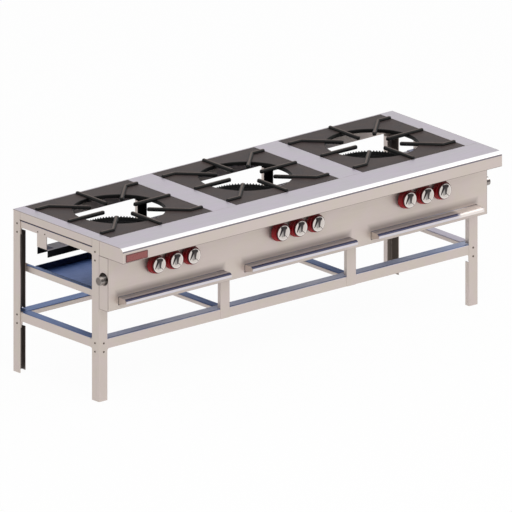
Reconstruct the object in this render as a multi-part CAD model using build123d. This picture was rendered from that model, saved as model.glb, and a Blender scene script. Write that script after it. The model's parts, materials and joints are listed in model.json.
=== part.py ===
"""Three-station wok range on an open steel frame, one STEP file for each piece.

Millimetres, +Z up, front towards -Y, the middle of the floor plan at the origin. Places are
given as x from the middle, depth forward of the back edge, and height above the floor.
"""

from build123d import *

import os
from math import sqrt

os.makedirs("parts", exist_ok=True)

# ---- overall ----
STATION_NAMES = ("left", "middle", "right")
BAY = 600.0
HEIGHT = 618.0
FRAME_DEPTH = 487.0
LEDGE_REACH = 136.0
SHEET = 2.0
WALL = 2.5
BEND = 3.0
SEAM = 1.0
GAP = 3.0

# ---- legs and posts ----
LEG_SIDE = 40.0
LEG_FACE = 42.0
LEG_LIP = 22.0
LIP_END = 85.0
POST_FACE = 45.0
POST_LIP = 15.0

# ---- rails: heights, and drops below the top ----
LOW_RAIL_TOP = 234.0
LONG_RAIL_FACE = 37.5
LONG_RAIL_SHELF = 48.0
SIDE_RAIL_FACE = 35.0
SIDE_RAIL_SHELF = 41.0
RAIL_LIP = 14.0
TAB_WIDTH = 34.0
TAB_DROP = 26.0
TAB_FILLET = 9.0
APRON_FACE = 30.0
UPPER_RAIL_DROP = 35.0
UPPER_RAIL_FACE = 26.0
BACK_RAIL_FACE = 42.0
BACK_RAIL_SHELF = 20.0
RUNNER_DROP = 208.5
RUNNER_FACE = 23.0
RUNNER_INSET = 25.0
RUNNER_SHELF = 30.0
RUNNER_WING = 75.0

# ---- worktop, ledge and panel ----
PLATE_WIDTH = 484.0
PLATE_SHIFT = -3.5
PLATE_THICK = 14.0
PLATE_GAP = 2.0
WELL_BACK = 5.0
WELL_SEAT = 12.0
LEDGE_DROP = 57.0
LEDGE_EDGE = 20.0
NOSE_RADIUS = 18.0
NAMEPLATE_LONG = 103.0
NAMEPLATE_TALL = 29.5
NAMEPLATE_INSET = 13.5
NAMEPLATE_RISE = 3.0
NAMEPLATE_CORNER = 2.5
PANEL_REACH = 51.0
PANEL_DROP = 261.0

# ---- cast plate ----
WOK_HOLE = 340.0
HOLE_ROUND = 3.0
HOLE_FORWARD = 1.0
FINGER_WIDTH = 15.0
FINGER_CROWN = 6.0
FINGER_KEEL = 4.0
FINGER_RISE = 9.0
FINGER_TALL = 14.0
FINGER_OVERHANG = 1.5
FINGER_TIP = 70.0
FINGER_BEND = 183.0

# ---- burner and its support ----
BURNER_DROP = 80.0
BURNER_RADIUS = 151.0
BURNER_RIM = 8.0
BURNER_TALL = 24.0
BURNER_FLOOR = 6.0
RING_RADII = (130.0, 88.0, 38.0)
RING_WIDTH = 16.0
RING_RISE = 8.0
AIR_HOLE = 14.0
FOOT_HEIGHT = 10.0
FOOT_SIDE = 16.0
FOOT_SPREAD = 60.0
FOOT_MARGIN = 8.0
SUPPORT_BEHIND = 90.0
SUPPORT_WIDTH = 60.0
SUPPORT_FACE = 28.0
SUPPORT_GAP = 4.0
HANGER_WIDTH = 54.0
HANGER_FOOT = 34.0
SPIGOT_RADIUS = 9.0
SPIGOT_DEEP = 5.0
SPIGOT_NEAREST = 12.0

# ---- gas line ----
PIPE_RADIUS = 16.7
PIPE_BORE = 13.3
PIPE_FORWARD = 26.0
PIPE_DROP = 145.0
PIPE_HOLE = 24.5
PIPE_HOLE_UP = 4.0
PIPE_STUB = 24.0
THREAD_RADIUS = 16.4
PLUG_LONG = 12.0
PLUG_INSET = 1.0
TUBE_RADIUS = 5.0
TUBE_BORE = 4.0
STEM_RADIUS = 4.0
STEM_SEAT = 12.0
STEM_CLEARANCE = 3.0
RUNNING_CLEARANCE = 0.05
VALVE_RADIUS = 11.0
VALVE_NECK = 7.0
VALVE_BACK_GAP = 6.0
VALVE_FRONT_GAP = 4.0

# ---- knobs ----
KNOB_SHIFT = (-2.5, -13.0, -12.0)
KNOB_PITCH = 83.0
KNOB_DROP = 117.0
KNOB_DEPTH = 27.0
KNOB_GAP = 9.0
SKIRT_RADIUS = 37.0
SKIRT_THICK = 5.0
SHOULDER_RADIUS = 34.0
SHOULDER_FORWARD = 18.0
KNOB_RADIUS = 30.5
FACE_RADIUS = 28.5
FACE_THICK = 3.0
FACE_EDGE = 1.2

# ---- drip trays ----
TRAY_DROP = 215.0
TRAY_TALL = 25.0
TRAY_BACK = 57.0
TRAY_MARGIN = 57.0
TRAY_CORNER = 4.0
TRAY_REST = 0.5
PULL_LENGTH = 500.0
PULL_REACH = 45.0
PULL_TALL = 28.0
PULL_ROUND = 10.0
PULL_LIP = 5.0
SLOT_GAP = 2.0

# ---- screws ----
SCREW_RADIUS = 4.0
SCREW_RISE = 1.6
SCREW_PITCH = 33.0
SCREW_DROP = 13.5
SCREW_INSET = 23.0
STRAP_SCREW_RADIUS = 3.0
STRAP_SCREW_PITCH = 40.0
STRAP_SCREW_UP = 7.0

# ---- worked out: places in the plan ----
STATIONS = len(STATION_NAMES)
LENGTH = STATIONS * BAY
SIDE = LENGTH / 2
TOP_DEPTH = FRAME_DEPTH + LEDGE_REACH
BACK_Y = (TOP_DEPTH + SHEET - SCREW_RISE) / 2
PANEL_FACE = FRAME_DEPTH + PANEL_REACH
STATION_X = [(i - (STATIONS - 1) / 2) * BAY for i in range(STATIONS)]
PLATE_X = [x + PLATE_SHIFT for x in STATION_X]
KNOB_X = [x + shift for x, shift in zip(STATION_X, KNOB_SHIFT)]
POST_X = [(i - STATIONS / 2) * BAY for i in range(1, STATIONS)]
WELL_FRONT = FRAME_DEPTH
PLATE_BACK = WELL_BACK + PLATE_GAP
PLATE_FRONT = WELL_FRONT - PLATE_GAP
HOLE_DEPTH = (PLATE_BACK + PLATE_FRONT) / 2 + HOLE_FORWARD
SUPPORT_DEPTH = HOLE_DEPTH - SUPPORT_BEHIND
PIPE_DEPTH = FRAME_DEPTH + PIPE_FORWARD
LAP = 2 * WALL + GAP
LEG_CLEAR = LEG_SIDE + GAP

# ---- worked out: heights ----
UNDERSIDE = HEIGHT - SHEET
PLATE_UNDER = HEIGHT - PLATE_THICK
LEDGE_UNDER = HEIGHT - LEDGE_DROP
PANEL_BOTTOM = HEIGHT - PANEL_DROP
LIP_TOP = HEIGHT - LIP_END
UPPER_RAIL_TOP = HEIGHT - UPPER_RAIL_DROP
RUNNER_TOP = HEIGHT - RUNNER_DROP
LONG_RAIL_LOW = LOW_RAIL_TOP - LONG_RAIL_FACE
BURNER_TOP = HEIGHT - BURNER_DROP
BURNER_UNDER = BURNER_TOP - BURNER_TALL
SUPPORT_TOP = BURNER_UNDER - FOOT_HEIGHT
PIPE_HEIGHT = HEIGHT - PIPE_DROP
KNOB_HEIGHT = HEIGHT - KNOB_DROP
TRAY_RIM = HEIGHT - TRAY_DROP
TRAY_BOTTOM = TRAY_RIM - TRAY_TALL
TRAY_SHELF = TRAY_BOTTOM - TRAY_REST


def y_at(depth):
    """Returns the Y of a place so far forward of the back edge."""
    return BACK_Y - depth


def block(x, depth, z):
    """Returns a box between two values of x, of depth and of z."""
    middle = Pos(sum(x) / 2, y_at(sum(depth) / 2), sum(z) / 2)
    return middle * Box(abs(x[1] - x[0]), abs(depth[1] - depth[0]), abs(z[1] - z[0]))


def rod(start, direction, length, radius):
    """Returns a round rod from a point (x, depth, z) along a direction."""
    origin = (start[0], y_at(start[1]), start[2])
    plane = Plane(origin=origin, z_dir=direction)
    return extrude(plane * Circle(radius), length)


def mirrored(shape):
    """Returns the shape as seen in the middle plane of the length."""
    return mirror(shape, Plane.YZ)


def turned_back(shape):
    """Returns the shape as seen in the middle plane of the frame's depth."""
    return mirror(shape, Plane(origin=(0, y_at(FRAME_DEPTH / 2), 0), z_dir=(0, 1, 0)))


def bent(points, wall=WALL, radius=BEND):
    """Returns the section of sheet folded along a middle line."""
    return trace(FilletPolyline(*points, radius=radius), line_width=wall)


def along_x(section, low, high):
    """Returns a section drawn in (-depth, z) carried from one x to another."""
    plane = Plane(origin=(low, BACK_Y, 0), x_dir=(0, 1, 0), z_dir=(1, 0, 0))
    return extrude(plane * section, high - low, dir=(1, 0, 0))


def along_depth(section, back, front):
    """Returns a section drawn in (x, z) carried from the back forward."""
    plane = Plane(origin=(0, y_at(back), 0), x_dir=(1, 0, 0), z_dir=(0, -1, 0))
    return extrude(plane * section, front - back, dir=(0, -1, 0))


def keep(name, *shapes):
    """Writes the shapes as one named part."""
    piece = shapes[0] if len(shapes) == 1 else Compound(children=list(shapes))
    piece.label = name
    export_step(piece, f"parts/{name}.step")


def tabbed_face(low, high, bottom, top):
    """Returns a rail face with a deeper tab with a filleted root at each end."""
    face = Polygon(
        (low, top),
        (high, top),
        (high, bottom - TAB_DROP),
        (high - TAB_WIDTH, bottom - TAB_DROP),
        (high - TAB_WIDTH, bottom),
        (low + TAB_WIDTH, bottom),
        (low + TAB_WIDTH, bottom - TAB_DROP),
        (low, bottom - TAB_DROP),
        align=None,
    )
    roots = [v for v in face.vertices() if abs(v.Y - bottom) < 0.01]
    return fillet(roots, TAB_FILLET)


# ---------------------------------------------------------------- legs and posts
NOTCH = (LONG_RAIL_LOW - TAB_DROP - GAP, LOW_RAIL_TOP + GAP)


def corner_leg():
    """Returns the front left leg, a lipped angle open towards the middle."""
    half = WALL / 2
    out, front = -SIDE + half, -(FRAME_DEPTH - half)
    line = [
        (out, front + LEG_SIDE - half),
        (out, front),
        (out + LEG_FACE - WALL, front),
        (out + LEG_FACE - WALL, front + LEG_LIP - half),
    ]
    leg = extrude(Pos(0, BACK_Y, 0) * bent(line), UNDERSIDE)
    lip = (-SIDE + LEG_FACE - WALL - BEND, -SIDE + LEG_FACE + 1)
    behind = (FRAME_DEPTH - LEG_LIP - 1, FRAME_DEPTH - WALL)
    for span in (NOTCH, (LIP_TOP, HEIGHT)):
        leg -= block(lip, behind, span)
    return leg


front_left = corner_leg()
keep("leg_front_left", front_left)
keep("leg_front_right", mirrored(front_left))
keep("leg_back_left", turned_back(front_left))
keep("leg_back_right", mirrored(turned_back(front_left)))


def post(x):
    """Returns a front post with its face flush with the legs."""
    half = WALL / 2
    front = -(FRAME_DEPTH - half)
    left, right = x - POST_FACE / 2 + half, x + POST_FACE / 2 - half
    line = [(left, front + POST_LIP), (left, front), (right, front), (right, front + POST_LIP)]
    piece = extrude(Pos(0, BACK_Y, LONG_RAIL_LOW) * bent(line), UNDERSIDE - LONG_RAIL_LOW)
    wide = (x - POST_FACE / 2 - 1, x + POST_FACE / 2 + 1)
    behind = (FRAME_DEPTH - POST_LIP - GAP, FRAME_DEPTH - WALL)
    for span in ((0, LOW_RAIL_TOP + GAP), (LIP_TOP, HEIGHT)):
        piece -= block(wide, behind, span)
    return piece


front_posts = [post(x) for x in POST_X]
keep("front_posts", *front_posts)
keep("back_posts", *[turned_back(piece) for piece in front_posts])


# ---------------------------------------------------------------- lower rails
def front_rail():
    """Returns the lower front rail: a tabbed face, a shelf and a lip."""
    end = SIDE - LAP
    face_depth = FRAME_DEPTH - WALL
    plane = Plane(origin=(0, y_at(face_depth), 0), x_dir=(1, 0, 0), z_dir=(0, -1, 0))
    face = tabbed_face(-end, end, LONG_RAIL_LOW, LOW_RAIL_TOP - BEND)
    face = extrude(plane * face, WALL, dir=(0, 1, 0))
    half = WALL / 2
    front, top = -face_depth + half, LOW_RAIL_TOP - half
    back = front + LONG_RAIL_SHELF - WALL
    line = [(front, top - BEND - half), (front, top), (back, top), (back, top - RAIL_LIP + half)]
    return face + along_x(bent(line), -end, end)


low_front = front_rail()
keep("lower_front_rail", low_front)
keep("lower_back_rail", turned_back(low_front))


def side_rail(top, face, clear):
    """Returns a left rail between the legs, its tabbed face lapped behind them."""
    outer = -SIDE + WALL
    plane = Plane(origin=(outer, BACK_Y, 0), x_dir=(0, -1, 0), z_dir=(-1, 0, 0))
    skin = tabbed_face(LAP, FRAME_DEPTH - LAP, top - face, top - BEND)
    skin = extrude(plane * skin, WALL, dir=(1, 0, 0))
    half = WALL / 2
    inner = outer + SIDE_RAIL_SHELF - half
    line = [
        (outer + half, top - BEND - WALL),
        (outer + half, top - half),
        (inner, top - half),
        (inner, top - RAIL_LIP),
    ]
    return skin + along_depth(bent(line), clear, FRAME_DEPTH - clear)


CROSS_CLEAR = LONG_RAIL_SHELF + WALL
low_left = side_rail(LOW_RAIL_TOP, SIDE_RAIL_FACE, CROSS_CLEAR + SEAM)
keep("lower_left_rail", low_left)
keep("lower_right_rail", mirrored(low_left))


def cross_rail(x):
    """Returns a lower rail from the front rail back to the back rail."""
    half, top = (SIDE_RAIL_SHELF - WALL) / 2, LOW_RAIL_TOP - WALL / 2
    low = LOW_RAIL_TOP - RAIL_LIP
    line = [(x - half, low), (x - half, top), (x + half, top), (x + half, low)]
    return along_depth(bent(line), CROSS_CLEAR, FRAME_DEPTH - CROSS_CLEAR)


keep("lower_cross_rails", *[cross_rail(x) for x in POST_X])

# ---------------------------------------------------------------- upper rails and aprons
up_left = side_rail(UPPER_RAIL_TOP, UPPER_RAIL_FACE, LEG_CLEAR)
keep("upper_left_rail", up_left)
keep("upper_right_rail", mirrored(up_left))


def back_rail():
    """Returns the upper back rail: a face lapped behind the back legs, a shelf and a lip."""
    top = UPPER_RAIL_TOP - WALL / 2
    back = -WALL * 1.5
    front = back - BACK_RAIL_SHELF
    line = [(back, top - BACK_RAIL_FACE), (back, top), (front, top), (front, top - RAIL_LIP)]
    end = SIDE - LEG_FACE - GAP
    rail = along_x(bent(line), -end, end)
    for side in (-1, 1):
        low, high = sorted((side * (SIDE - LAP), side * (end - BEND)))
        rail += block((low, high), (WALL, 2 * WALL), (top - BACK_RAIL_FACE, top - BEND))
    return rail


keep("upper_back_rail", back_rail())

apron = block(
    (-SIDE, -SIDE + SHEET),
    (LEG_SIDE + SEAM, FRAME_DEPTH - LEG_SIDE - SEAM),
    (UNDERSIDE - APRON_FACE, UNDERSIDE),
)
keep("side_aprons", apron, mirrored(apron))


# ---------------------------------------------------------------- tray runners
def side_runner():
    """Returns the left runner: a rail between the legs, with a web lapped on their lips."""
    half = WALL / 2
    outer, web = -SIDE + RUNNER_INSET, -SIDE + LEG_FACE
    line = [
        (outer + half, RUNNER_TOP - RUNNER_FACE),
        (outer + half, RUNNER_TOP - half),
        (web + half, RUNNER_TOP - half),
        (web + half, TRAY_SHELF - half),
        (web + RUNNER_SHELF, TRAY_SHELF - half),
    ]
    rail = along_depth(bent(line), WALL, FRAME_DEPTH - WALL)
    for ends in ((0, LEG_CLEAR), (FRAME_DEPTH - LEG_CLEAR, FRAME_DEPTH)):
        rail -= block((-SIDE, web), ends, (TRAY_SHELF, HEIGHT))
    return rail


runner_left = side_runner()
keep("tray_runner_left", runner_left)
keep("tray_runner_right", mirrored(runner_left))


def middle_runner(x):
    """Returns a runner between two posts, with a wing under each tray."""
    short = (POST_LIP + GAP, FRAME_DEPTH - POST_LIP - GAP)
    wings = block((x - RUNNER_WING, x + RUNNER_WING), short, (TRAY_SHELF - WALL, TRAY_SHELF))
    web = block(
        (x - WALL / 2, x + WALL / 2),
        (WALL, FRAME_DEPTH - WALL),
        (TRAY_SHELF - WALL, RUNNER_TOP),
    )
    return wings + web


keep("tray_runners_middle", *[middle_runner(x) for x in POST_X])


# ---------------------------------------------------------------- worktop
def worktop():
    """Returns the top sheet with a rimmed and seated well for each cast plate."""
    front = WELL_FRONT + SHEET
    top = block((-SIDE, SIDE), (0, front), (UNDERSIDE, HEIGHT))
    floor = PLATE_UNDER - SHEET
    for x in PLATE_X:
        low = x - PLATE_WIDTH / 2 - PLATE_GAP
        high = x + PLATE_WIDTH / 2 + PLATE_GAP
        top += block(
            (low - SHEET, high + SHEET),
            (WELL_BACK - SHEET, front),
            (floor, UNDERSIDE + SHEET / 2),
        )
        top -= block((low, high), (WELL_BACK, WELL_FRONT), (PLATE_UNDER, HEIGHT + 1))
        top -= block(
            (low + WELL_SEAT, high - WELL_SEAT),
            (WELL_BACK + WELL_SEAT, WELL_FRONT - WELL_SEAT),
            (floor - 1, HEIGHT + 1),
        )
    return top


keep("worktop", worktop())

# ---------------------------------------------------------------- front ledge
LEDGE_BACK = WELL_FRONT + SHEET + SEAM


def ledge_section(inset):
    """Returns the side outline of the ledge, drawn in by an inset."""
    back, front = -LEDGE_BACK - inset, -TOP_DEPTH + inset
    low, high = LEDGE_UNDER + inset, HEIGHT - inset
    outline = Polygon((back, low), (front, low), (front, high), (back, high), align=None)
    nose = [v for v in outline.vertices() if v.X < front + 1 and v.Y > high - 1]
    return fillet(nose, NOSE_RADIUS - inset)


ledge = along_x(ledge_section(0), -SIDE, SIDE)
ledge -= along_x(ledge_section(SHEET), -SIDE + SHEET, SIDE - SHEET)
ledge -= block(
    (-SIDE + LEDGE_EDGE, SIDE - LEDGE_EDGE),
    (LEDGE_BACK - 1, LEDGE_BACK + SHEET + 1),
    (LEDGE_UNDER + LEDGE_EDGE / 2, HEIGHT - LEDGE_EDGE),
)
keep("front_ledge", ledge)

badge_left = -SIDE + NAMEPLATE_INSET
badge_low = LEDGE_UNDER + NAMEPLATE_RISE
badge = block(
    (badge_left, badge_left + NAMEPLATE_LONG),
    (TOP_DEPTH, TOP_DEPTH + SHEET),
    (badge_low, badge_low + NAMEPLATE_TALL),
)
keep("nameplate", fillet(badge.edges().filter_by(Axis.Y), NAMEPLATE_CORNER))

# ---------------------------------------------------------------- control panel
SLOT = (TRAY_RIM - PULL_TALL - SLOT_GAP, TRAY_RIM + SLOT_GAP)


def knob_xs(group):
    """Returns the x of each knob of a group about its middle."""
    return [group + i * KNOB_PITCH for i in (-1, 0, 1)]


def control_panel():
    """Returns the folded panel box with its knob holes, pipe holes and tray slots."""
    box = block((-SIDE, SIDE), (FRAME_DEPTH, PANEL_FACE), (PANEL_BOTTOM, LEDGE_UNDER))
    fold = box.edges().filter_by(Axis.X).sort_by(Axis.Y)[:2].sort_by(Axis.Z)[:1]
    box = fillet(fold, BEND)
    box -= block(
        (-SIDE + SHEET, SIDE - SHEET),
        (FRAME_DEPTH - 1, PANEL_FACE - SHEET),
        (PANEL_BOTTOM + SHEET, LEDGE_UNDER + 1),
    )
    middle = (FRAME_DEPTH + PANEL_FACE) / 2
    for side in (-1, 1):
        start = (side * (SIDE - 2 * SHEET), middle, PIPE_HEIGHT + PIPE_HOLE_UP)
        box -= rod(start, (side, 0, 0), 4 * SHEET, PIPE_HOLE)
    through = (PANEL_FACE - SHEET - 1, PANEL_FACE + 1)
    half = PULL_LENGTH / 2 + SLOT_GAP
    for x in STATION_X:
        box -= block((x - half, x + half), through, SLOT)
    for group in KNOB_X:
        for knob_x in knob_xs(group):
            start = (knob_x, PANEL_FACE + 1, KNOB_HEIGHT)
            box -= rod(start, (0, 1, 0), SHEET + 2, STEM_RADIUS + STEM_CLEARANCE)
    return box


keep("control_panel", control_panel())

# ---------------------------------------------------------------- cast plates
FINGER_LOW = HEIGHT + FINGER_RISE - FINGER_TALL


def bar(points):
    """Returns one raised finger with round ends, along a line of (x, depth) points."""
    line = Polyline(*[(x, y_at(d)) for x, d in points])
    flat = trace(line, line_width=FINGER_WIDTH)
    for x, d in points:
        flat += Pos(x, y_at(d)) * Circle(FINGER_WIDTH / 2)
    solid = extrude(Pos(0, 0, FINGER_LOW) * flat, FINGER_TALL)
    solid = fillet(solid.faces().sort_by(Axis.Z)[0].edges(), FINGER_KEEL)
    return fillet(solid.faces().sort_by(Axis.Z)[-1].edges(), FINGER_CROWN)


def cast_plate(x):
    """Returns the flat plate with its round hole and eight fingers."""
    middle = HOLE_DEPTH
    wide, deep = (x - PLATE_WIDTH / 2, x + PLATE_WIDTH / 2), (PLATE_BACK, PLATE_FRONT)
    plate = block(wide, deep, (PLATE_UNDER, HEIGHT))
    plate -= rod((x, middle, PLATE_UNDER - 1), (0, 0, 1), PLATE_THICK + 2, WOK_HOLE / 2)
    plate = fillet(plate.edges().filter_by(GeomType.CIRCLE).sort_by(Axis.Z)[-1:], HOLE_ROUND)
    end = FINGER_WIDTH / 2 - FINGER_OVERHANG
    reach = PLATE_WIDTH / 2 - end
    tip = FINGER_TIP + FINGER_WIDTH / 2
    lines = [
        [(x + tip, middle), (x + reach, middle)],
        [(x - tip, middle), (x - reach, middle)],
        [(x, middle - tip), (x, PLATE_BACK + end)],
        [(x, middle + tip), (x, PLATE_FRONT - end)],
    ]
    for right in (-1, 1):
        for forward in (-1, 1):
            start = (x + right * tip, middle + forward * tip)
            bend = (x + right * FINGER_BEND, middle + forward * FINGER_BEND)
            lines.append([start, bend, (x + right * reach, bend[1])])
    for line in lines:
        plate += bar(line)
    return plate


for name, x in zip(STATION_NAMES, PLATE_X):
    keep(f"cast_plate_{name}", cast_plate(x))


# ---------------------------------------------------------------- burners and their support
def spigots(x, group):
    """Returns the x and depth of a burner's three gas spigots, one for each ring."""
    outer, middle, inner = RING_RADII
    places = []
    for knob_x, radius in zip(knob_xs(group), (outer, inner, middle)):
        side = knob_x - x
        reach = sqrt(radius**2 - side**2) if radius > abs(side) else SPIGOT_NEAREST
        places.append((knob_x, HOLE_DEPTH + reach))
    return places


def burner(x, group):
    """Returns a cast dish with three jet rings on its floor, its spigots and its feet."""
    centre, up = (x, HOLE_DEPTH, BURNER_UNDER), (0, 0, 1)
    floor = (x, HOLE_DEPTH, BURNER_UNDER + BURNER_FLOOR)
    into_floor = BURNER_UNDER + BURNER_FLOOR / 2
    piece = rod(centre, up, BURNER_TALL, BURNER_RADIUS)
    piece -= rod(floor, up, BURNER_TALL, BURNER_RADIUS - BURNER_RIM)
    ring_tall = BURNER_FLOOR + RING_RISE
    for radius in RING_RADII:
        ring = rod(centre, up, ring_tall, radius + RING_WIDTH / 2)
        piece += ring - rod(centre, up, ring_tall, radius - RING_WIDTH / 2)
    piece -= rod(centre, up, BURNER_TALL, AIR_HOLE)
    for knob_x, depth in spigots(x, group):
        low = KNOB_HEIGHT - SPIGOT_RADIUS
        piece += rod((knob_x, depth, low), up, into_floor - low, SPIGOT_RADIUS)
        mouth = (knob_x, depth, KNOB_HEIGHT)
        piece -= rod(mouth, (0, -1, 0), 2 * SPIGOT_RADIUS, TUBE_RADIUS + RUNNING_CLEARANCE)
    half = SUPPORT_WIDTH / 2 - FOOT_MARGIN
    for side in (-1, 1):
        foot_x = x + side * FOOT_SPREAD
        piece += block(
            (foot_x - FOOT_SIDE / 2, foot_x + FOOT_SIDE / 2),
            (SUPPORT_DEPTH - half, SUPPORT_DEPTH + half),
            (SUPPORT_TOP, into_floor),
        )
    return piece


for name, x, group in zip(STATION_NAMES, PLATE_X, KNOB_X):
    keep(f"burner_{name}", burner(x, group))


def support():
    """Returns the inverted channel under the burners, from one side to the other."""
    half, top = (SUPPORT_WIDTH - WALL) / 2, SUPPORT_TOP - WALL / 2
    low = SUPPORT_TOP - SUPPORT_FACE
    back, front = -SUPPORT_DEPTH + half, -SUPPORT_DEPTH - half
    end = SIDE - 2 * WALL - SUPPORT_GAP
    return along_x(bent([(back, low), (back, top), (front, top), (front, low)]), -end, end)


keep("burner_support", support())


def hanger():
    """Returns the left strap from the upper side rail down to the support."""
    half = WALL / 2
    outer = -SIDE + 2 * WALL
    line = [
        (outer + half, UPPER_RAIL_TOP - 2 * BEND),
        (outer + half, SUPPORT_TOP + half),
        (outer + HANGER_FOOT, SUPPORT_TOP + half),
    ]
    half = HANGER_WIDTH / 2
    return along_depth(bent(line), SUPPORT_DEPTH - half, SUPPORT_DEPTH + half)


strap = hanger()
keep("support_hangers", strap, mirrored(strap))


# ---------------------------------------------------------------- gas line
def manifold():
    """Returns the pipe through both ends of the panel, turned down for a thread outside them."""
    pipe = rod((-SIDE, PIPE_DEPTH, PIPE_HEIGHT), (1, 0, 0), LENGTH, PIPE_RADIUS)
    end = (-SIDE - PIPE_STUB, PIPE_DEPTH, PIPE_HEIGHT)
    whole = LENGTH + 2 * PIPE_STUB
    pipe += rod(end, (1, 0, 0), whole, THREAD_RADIUS)
    return pipe - rod(end, (1, 0, 0), whole, PIPE_BORE)


keep("gas_manifold", manifold())
plug_end = (-SIDE - PIPE_STUB + PLUG_INSET, PIPE_DEPTH, PIPE_HEIGHT)
keep("manifold_plug", rod(plug_end, (1, 0, 0), PLUG_LONG, PIPE_BORE))

VALVE_BACK = FRAME_DEPTH + VALVE_BACK_GAP
VALVE_FRONT = PANEL_FACE - SHEET - VALVE_FRONT_GAP
STEM_BACK = VALVE_FRONT - STEM_SEAT


def valve(x):
    """Returns one valve body on the pipe, bored for the knob's stem and for its tube."""
    mouth = (x, VALVE_FRONT, KNOB_HEIGHT)
    body = rod(mouth, (0, 1, 0), VALVE_FRONT - VALVE_BACK, VALVE_RADIUS)
    neck = (x, PIPE_DEPTH, PIPE_HEIGHT)
    body += rod(neck, (0, 0, 1), KNOB_HEIGHT - PIPE_HEIGHT, VALVE_NECK)
    saddle = (x - 2 * VALVE_RADIUS, PIPE_DEPTH, PIPE_HEIGHT)
    body -= rod(saddle, (1, 0, 0), 4 * VALVE_RADIUS, PIPE_RADIUS)
    front = (x, VALVE_FRONT + 1, KNOB_HEIGHT)
    body -= rod(front, (0, 1, 0), STEM_SEAT + 2, STEM_RADIUS + RUNNING_CLEARANCE)
    back = (x, VALVE_BACK - 1, KNOB_HEIGHT)
    return body - rod(back, (0, -1, 0), VALVE_BACK_GAP + 1, TUBE_RADIUS + RUNNING_CLEARANCE)


keep("gas_valves", *[valve(knob_x) for group in KNOB_X for knob_x in knob_xs(group)])


def gas_tube(x, depth):
    """Returns the tube from a valve back into its burner spigot."""
    start = depth + SPIGOT_RADIUS - SPIGOT_DEEP
    end = VALVE_BACK + VALVE_BACK_GAP / 2
    tube = rod((x, start, KNOB_HEIGHT), (0, -1, 0), end - start, TUBE_RADIUS)
    return tube - rod((x, start - 1, KNOB_HEIGHT), (0, -1, 0), end - start + 2, TUBE_BORE)


spigot_places = [place for x, group in zip(PLATE_X, KNOB_X) for place in spigots(x, group)]
keep("gas_tubes", *[gas_tube(*place) for place in spigot_places])

# ---------------------------------------------------------------- knobs
KNOB_BACK = PANEL_FACE + KNOB_GAP
KNOB_FRONT = KNOB_BACK + KNOB_DEPTH
FACE_SEAT = KNOB_FRONT - FACE_THICK / 2


def knob(x):
    """Returns the red body of a knob: a wide skirt, a taper and a round cap, turned hollow."""
    outline = Polygon(
        (STEM_RADIUS, 0),
        (SKIRT_RADIUS, 0),
        (SKIRT_RADIUS, SKIRT_THICK),
        (SHOULDER_RADIUS, SHOULDER_FORWARD),
        (KNOB_RADIUS, SHOULDER_FORWARD),
        (KNOB_RADIUS, KNOB_DEPTH),
        (FACE_RADIUS, KNOB_DEPTH),
        (FACE_RADIUS, FACE_SEAT - KNOB_BACK),
        (STEM_RADIUS, FACE_SEAT - KNOB_BACK),
        align=None,
    )
    axis = (x, y_at(KNOB_BACK), KNOB_HEIGHT)
    plane = Plane(origin=axis, x_dir=(1, 0, 0), z_dir=(0, 0, -1))
    return revolve(plane * outline, Axis(axis, (0, -1, 0)))


def knob_face(x):
    """Returns the metal face disc of a knob, one piece with its stem."""
    disc = rod((x, FACE_SEAT, KNOB_HEIGHT), (0, -1, 0), FACE_THICK, FACE_RADIUS)
    rims = disc.edges().filter_by(GeomType.CIRCLE).sort_by(Axis.Y)
    disc = fillet(rims[:1], FACE_EDGE)
    return disc + rod((x, STEM_BACK, KNOB_HEIGHT), (0, -1, 0), FACE_SEAT + 1 - STEM_BACK, STEM_RADIUS)


for name, group in zip(STATION_NAMES, KNOB_X):
    for place, knob_x in zip(("a", "b", "c"), knob_xs(group)):
        keep(f"knob_{name}_{place}", knob(knob_x))
        keep(f"knob_face_{name}_{place}", knob_face(knob_x))

# ---------------------------------------------------------------- drip trays and pulls
TRAY_FRONT = PANEL_FACE - SHEET


def drip_tray(x):
    """Returns the open pan of a drip tray."""
    half = BAY / 2 - TRAY_MARGIN
    pan = block((x - half, x + half), (TRAY_BACK, TRAY_FRONT), (TRAY_BOTTOM, TRAY_RIM))
    pan = fillet(pan.edges().filter_by(Axis.Z), TRAY_CORNER)
    return pan - block(
        (x - half + SHEET, x + half - SHEET),
        (TRAY_BACK + SHEET, TRAY_FRONT - SHEET),
        (TRAY_BOTTOM + SHEET, TRAY_RIM + 1),
    )


def tray_pull(x):
    """Returns the full-length pull: a back plate, a rounded shelf, a lip and end gussets."""
    back, front = -TRAY_FRONT - SHEET / 2, -(PANEL_FACE + PULL_REACH) + SHEET / 2
    top, bottom = TRAY_RIM - SHEET / 2, TRAY_RIM - PULL_TALL
    curve_back, curve_low = (front + PULL_ROUND, top), (front, top - PULL_ROUND)
    lip_end = (front, top - PULL_ROUND - PULL_LIP)
    path = Polyline((back, bottom), (back, top), curve_back)
    path += RadiusArc(curve_back, curve_low, -PULL_ROUND)
    path += Line(curve_low, lip_end)
    low, high = x - PULL_LENGTH / 2, x + PULL_LENGTH / 2
    pull = along_x(trace(path, line_width=SHEET), low, high)
    inner = front + SHEET / 2
    gusset = Polygon(
        (back, bottom),
        (back, top),
        curve_back,
        (inner, curve_low[1]),
        (inner, lip_end[1]),
        align=None,
    )
    for start in (low, high - SHEET):
        pull += along_x(gusset, start, start + SHEET)
    return pull


for name, x in zip(STATION_NAMES, STATION_X):
    keep(f"drip_tray_{name}", drip_tray(x))
    keep(f"tray_pull_{name}", tray_pull(x))


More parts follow.
